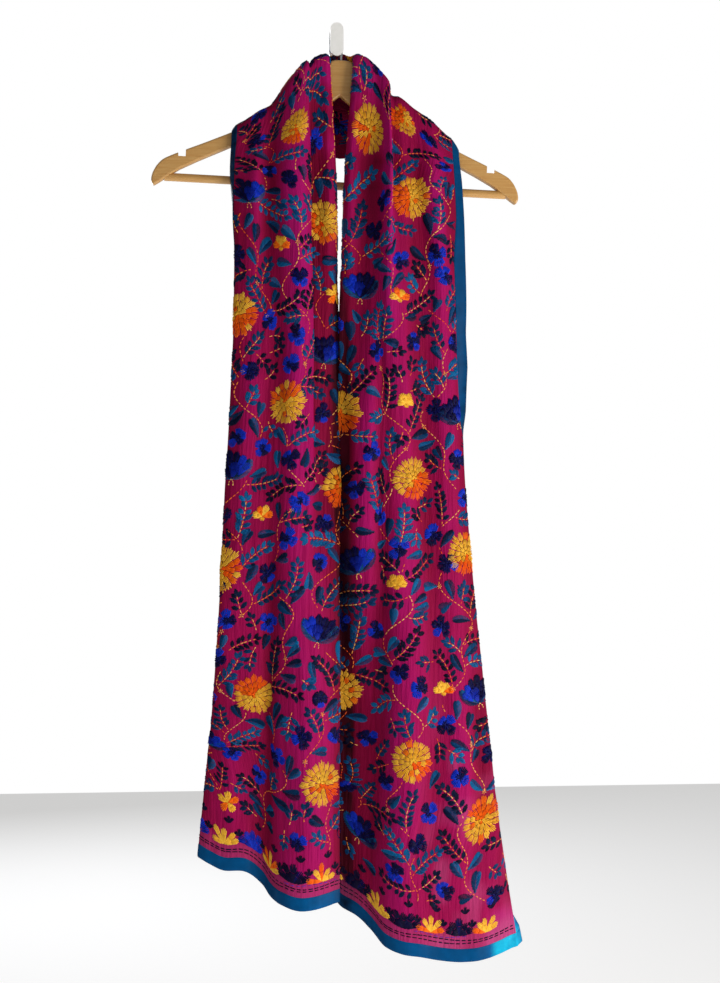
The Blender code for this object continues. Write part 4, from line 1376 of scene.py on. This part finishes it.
for wide, high in ((given["Thread Width"], given["Thread Height"]), (uneven, uneven)):
    fuller = add("ShaderNodeCombineXYZ", {"X": 1.0, "Y": wide, "Z": high}).outputs[0]
    size = add("ShaderNodeVectorMath", {0: size, 1: fuller}, operation="MULTIPLY").outputs[0]
spin = add("ShaderNodeCombineXYZ", {"Z": turn})
spin = add("FunctionNodeEulerToRotation", {"Euler": spin.outputs[0]})
shape = add("GeometryNodeObjectInfo", {"Object": given["Thread"]})
placed = add("GeometryNodeInstanceOnPoints", {
    "Points": given["Geometry"], "Instance": shape.outputs["Geometry"],
    "Rotation": spin.outputs[0], "Scale": size,
})
real = add("GeometryNodeRealizeInstances", {"Geometry": placed.outputs[0]})
finished = add("GeometryNodeSetMaterial", {"Geometry": real.outputs[0], "Material": given["Finish"]})
add("NodeGroupOutput", {0: finished.outputs[0]})
print("The tree's inputs:", ", ".join(tree_inputs))

# %% Silk floss in four colourways
# Untwisted silk: a bright soft gloss along the strands, and a dye that varies from stitch to stitch
FLOSS_DYES = {
    "gold": [(0.0, "FACA48"), (0.3, "ECAC2C"), (0.6, "F48214"), (1.0, "F25006")],
    "blue": [(0.0, "10031F"), (0.3, "060334"), (0.6, "06137A"), (1.0, "0C34C8")],
    "teal": [(0.0, "080422"), (0.35, "02244A"), (0.7, "02467A"), (1.0, "0670AA")],
    "vine": [(0.0, "E8481A"), (0.45, "F08430"), (1.0, "F4C070")],
}
STRANDS = 7.0  # filaments across one stitch; real floss has dozens, drawn coarser so that they show
floss = {}
for family, steps in FLOSS_DYES.items():
    floss[family], add, finish = new_material(family + " silk floss")
    shade = add("ShaderNodeAttribute", attribute_name="shade").outputs["Fac"]
    strand = add("ShaderNodeUVMap", uv_map="strand").outputs["UV"]
    filaments = add("ShaderNodeMapping", {"Vector": strand, "Scale": (1.5, STRANDS, 1.0)})
    filaments = add("ShaderNodeTexNoise", {"Vector": filaments.outputs[0], "Scale": 1.0, "Detail": 1.0})
    drawn = add("ShaderNodeBump", {"Height": filaments.outputs["Fac"], "Strength": 0.3, "Distance": 0.1 * MM})
    finish({
        "Base Color": colour_steps(add("ShaderNodeValToRGB", {"Fac": shade}), steps),
        "Normal": drawn.outputs["Normal"], "Roughness": 0.45, "Specular IOR Level": 0.12,
    })
print("Colourways:", ", ".join(floss))

# %% From flat to hung
SINK = 0.12  # mm that a thread's underside is bedded in the crepe
VALLEY = 10.6  # the place between fold lines beyond which the wrong side can be seen
NECK_REACH = 120.0  # mm, from the middle of the length


def lay(half, u, v, height, face):
    """Hung places of flat ones and their outward directions.

    u, v and height above the crepe are in mm, and face is 1 on the right side or -1 on the wrong."""
    u_grid, v_rows, both = flat_frames[half]
    row = np.interp(v, v_rows, np.arange(len(v_rows)))
    low = np.minimum(row.astype(int), len(v_rows) - 2)
    share = (row - low)[:, None]
    found = np.zeros((len(u), 6))
    order = np.argsort(low, kind="stable")
    starts = np.flatnonzero(np.diff(low[order], prepend=-1))
    for start, end in zip(starts, [*starts[1:], len(order)]):
        chosen = order[start:end]
        for step in (0, 1):
            line = low[chosen[0]] + step
            column = np.interp(u[chosen], u_grid[line], np.arange(u_grid.shape[1]))
            left = np.minimum(column.astype(int), u_grid.shape[1] - 2)
            part = (column - left)[:, None]
            value = both[line, left] * (1 - part) + both[line, left + 1] * part
            found[chosen] += value * (share[chosen] if step else 1 - share[chosen])
    out = found[:, 3:] * face[:, None]
    return found[:, :3] + out * (height - SINK + CREPE_THICK / 2)[:, None], out


def on_cloth(half, u, v, turn, length):
    """Which stitches lie whole between the two long seams; the satin covers the others."""
    inside = np.ones(len(u), bool)
    for end in (-0.5, 0.5):
        end_u, end_v = moved((u, v), turn, end * length)
        low, high = seams_at(half, end_v)
        inside &= (end_u > low - 1) & (end_u < high + 1)
        inside &= (end_v > HEM_BAND) & (end_v < half_length[half] + 20)
    return inside


def shows_wrong_side(half, u, v):
    """Which stitches can be seen from the cloth's wrong side: beyond the valley, and behind the neck."""
    valley = u_of_line(half, v, int(np.argmin(abs(across - VALLEY))))
    return (u < valley if half == "left" else u > valley) | (v > half_length[half] - NECK_REACH)


print("Threads are bedded %.2f mm deep" % SINK)

# %% Threads on flat cloth
FULLNESS = {"gold": 1.0, "blue": 1.0, "teal": 0.95, "vine": 1.0}
UNEVENNESS = 0.18


def placed_flat(name, family, stitch, seed):
    """The mesh that the tree makes of some stitches: one thread for each, on flat cloth."""
    u, v, turn, length, width, height, shade, lift = stitch
    points = bpy.data.meshes.new(name)
    points.from_pydata((np.stack([u, v, lift], 1) * MM).tolist(), [], [])
    keep_values(points, "size", np.stack([length, width, height], 1) * MM)
    keep_values(points, "turn", turn)
    keep_values(points, "shade", np.clip(shade, 0, 1))
    bed = new_object(name, points)
    modifier = bed.modifiers.new("stitches", "NODES")
    modifier.node_group = tree
    for label, value in (
        ("Thread", thread), ("Thread Width", 1.0), ("Thread Height", FULLNESS[family]),
        ("Unevenness", UNEVENNESS), ("Seed", seed), ("Finish", floss[family]),
    ):
        modifier[tree_inputs[label]] = value
    mesh = bpy.data.meshes.new_from_object(bed.evaluated_get(bpy.context.evaluated_depsgraph_get()))
    bpy.data.objects.remove(bed)
    return mesh


print("Threads differ in thickness by up to %.0f %%" % (100 * UNEVENNESS))

# %% Drape them
WRONG_SIDE_EVERY = 2  # of the stitches there, one in two also shows on the wrong side
WRONG_SIDE_FULLNESS = [[1.25], [0.6]]  # of its width and its height
ROLLED_OVER = [0, 2, 1, 3, 5, 4, 6, 7]  # the thread's corners, mirrored along its length


def embroider(half, family, seed):
    """One draped mesh of all the stitches of a colourway on one half."""
    sewn = np.concatenate(stitches[half][family], axis=1)
    sewn = sewn[:, on_cloth(half, *sewn[:4])]
    wrong = sewn[:, shows_wrong_side(half, *sewn[:2])][:, ::WRONG_SIDE_EVERY].copy()
    wrong[4:6] *= WRONG_SIDE_FULLNESS
    stitch = np.concatenate([sewn, wrong], axis=1)
    face = np.repeat([1.0, -1.0], [sewn.shape[1], wrong.shape[1]])
    name = "%s_floss_%s" % (family, half)
    mesh = placed_flat(name, family, stitch, seed)
    flat = np.empty(len(mesh.vertices) * 3, np.float32)
    mesh.vertices.foreach_get("co", flat)
    flat = flat.reshape(-1, 8, 3).astype(float) / MM
    # Stitches on the wrong side are rolled over on their own length, so their faces still look out
    flat[face < 0] = flat[face < 0][:, ROLLED_OVER]
    draped, out = lay(half, *flat.reshape(-1, 3).T, np.repeat(face, 8))
    draped, out = draped.reshape(-1, 8, 3), out.reshape(-1, 8, 3)
    # A straight thread would cut through a ridge, so its round part is lifted onto it
    crest, _ = lay(half, stitch[0], stitch[1], stitch[7], face)
    bedded = draped[:, [1, 2, 4, 5]].mean(axis=1)
    upward = out.mean(axis=1)
    rise = np.maximum(((crest - bedded) * upward).sum(axis=1), 0)
    draped[:, 1:7] += (upward * rise[:, None])[:, None]
    mesh.vertices.foreach_set("co", (draped * MM).astype(np.float32).ravel())
    mesh.update()
    return new_object(name, mesh)


seed = 0
for half in stitches:
    for family in FAMILIES:
        seed += 1
        sewn = embroider(half, family, seed)
        finish_piece(sewn, floss[family], [])
        print("%-18s %6d stitches" % (sewn.name, len(sewn.data.vertices) // 8))

# %% [markdown]
# ## Wood, wire and enamel
#
# These solids already have the right shape, so each only gets its finish. The arms of a hanger are
# sawn with the grain along them. An image of wood would need an unwrapped mesh and would stretch at
# the bends, so the grain is a stretched noise in the solid's own space, folded about the middle, and
# it follows the slope. The wire is bright zinc plate, and the peg is a white enamelled casting.

# %% Lacquered lotus wood
# Pale even timber under clear lacquer: soft brown grain lines below a thin smooth gloss
GRAIN = 2.2 * MM  # real growth lines are about this far apart
ARM_SLOPE = radians(-26)
wood, add, finish = new_material("clear-lacquered lotus wood")
place = add("ShaderNodeTexCoord").outputs["Object"]
parts = add("ShaderNodeSeparateXYZ", {0: place}).outputs
outward = add("ShaderNodeMath", {0: parts["X"]}, operation="ABSOLUTE").outputs[0]
folded = add("ShaderNodeCombineXYZ", {"X": outward, "Y": parts["Y"], "Z": parts["Z"]}).outputs[0]
along_arm = add("ShaderNodeMapping", {
    "Vector": folded, "Rotation": (0.0, ARM_SLOPE, 0.0), "Scale": (0.06, 1.0, 1.0),
}).outputs[0]
grain = add("ShaderNodeTexNoise", {
    "Vector": along_arm, "Scale": 1 / GRAIN, "Detail": 4.0, "Roughness": 0.55, "Distortion": 0.4,
}).outputs["Fac"]
timber = [(0.25, "BC8848"), (0.45, "C49350"), (0.6, "CA9C5A"), (0.8, "D2A868")]
raised = add("ShaderNodeBump", {"Height": grain, "Strength": 0.1, "Distance": 0.2 * MM})
finish({
    "Base Color": colour_steps(add("ShaderNodeValToRGB", {"Fac": grain}), timber),
    "Normal": raised.outputs["Normal"], "Roughness": 0.42, "Coat Weight": 0.35, "Coat Roughness": 0.2,
})
print("Grain lines every", GRAIN / MM, "mm")

# %% Zinc-plated wire
# Bright zinc plate on drawn wire: a mirror broken by faint lengthwise draw marks
DRAW_MARK = 0.8 * MM
wire, add, finish = new_material("zinc-plated steel wire")
place = add("ShaderNodeTexCoord").outputs["Object"]
marks = add("ShaderNodeTexNoise", {"Vector": place, "Scale": 1 / DRAW_MARK, "Detail": 2.0})
polish = add("ShaderNodeMapRange", {"Value": marks.outputs["Fac"], "To Min": 0.18, "To Max": 0.34})
finish({"Base Color": linear("C9CCD0"), "Metallic": 1.0, "Roughness": polish.outputs["Result"]})
print("Draw marks", DRAW_MARK / MM, "mm")

# %% White enamel
# Fired enamel on cast metal: glossy white, with a faint unevenness from the casting below
CAST_WAVE = 5 * MM
enamel, add, finish = new_material("white enamelled casting")
place = add("ShaderNodeTexCoord").outputs["Object"]
cast = add("ShaderNodeTexNoise", {"Vector": place, "Scale": 1 / CAST_WAVE, "Detail": 1.0}).outputs["Fac"]
white = [(0.3, "F6F7F4"), (0.7, "FBFBF9")]
wavy = add("ShaderNodeBump", {"Height": cast, "Strength": 0.1, "Distance": 0.3 * MM})
finish({
    "Base Color": colour_steps(add("ShaderNodeValToRGB", {"Fac": cast}), white),
    "Normal": wavy.outputs["Normal"], "Roughness": 0.22,
})
print("The casting waves every", CAST_WAVE / MM, "mm")

# %% Finishes on the solids that stay
for name, material in (("hanger_frame", wood), ("trouser_bar", wood), ("wire_hook", wire), ("peg", enamel)):
    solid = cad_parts[name]
    solid.data.materials.clear()
    solid.data.materials.append(material)
print("Four solids keep their shapes")

# %% [markdown]
# ## What the sheet was cut to
#
# A sheet of cloth has the size of its flat cut, as a tailor would mark it out; here its length is
# worked out. The two layers of the folded length show 0.34 m of its width. The satin and the floss are
# sewn on and go with it.

# %% Cut size
length = whole_length * MM
print("The crepe is %.2f m long" % length)

# %% Sizes for the record
size = {
    "cad": [list(corner) for corner in cad_box],
    "visual": [list(corner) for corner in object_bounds()],
}
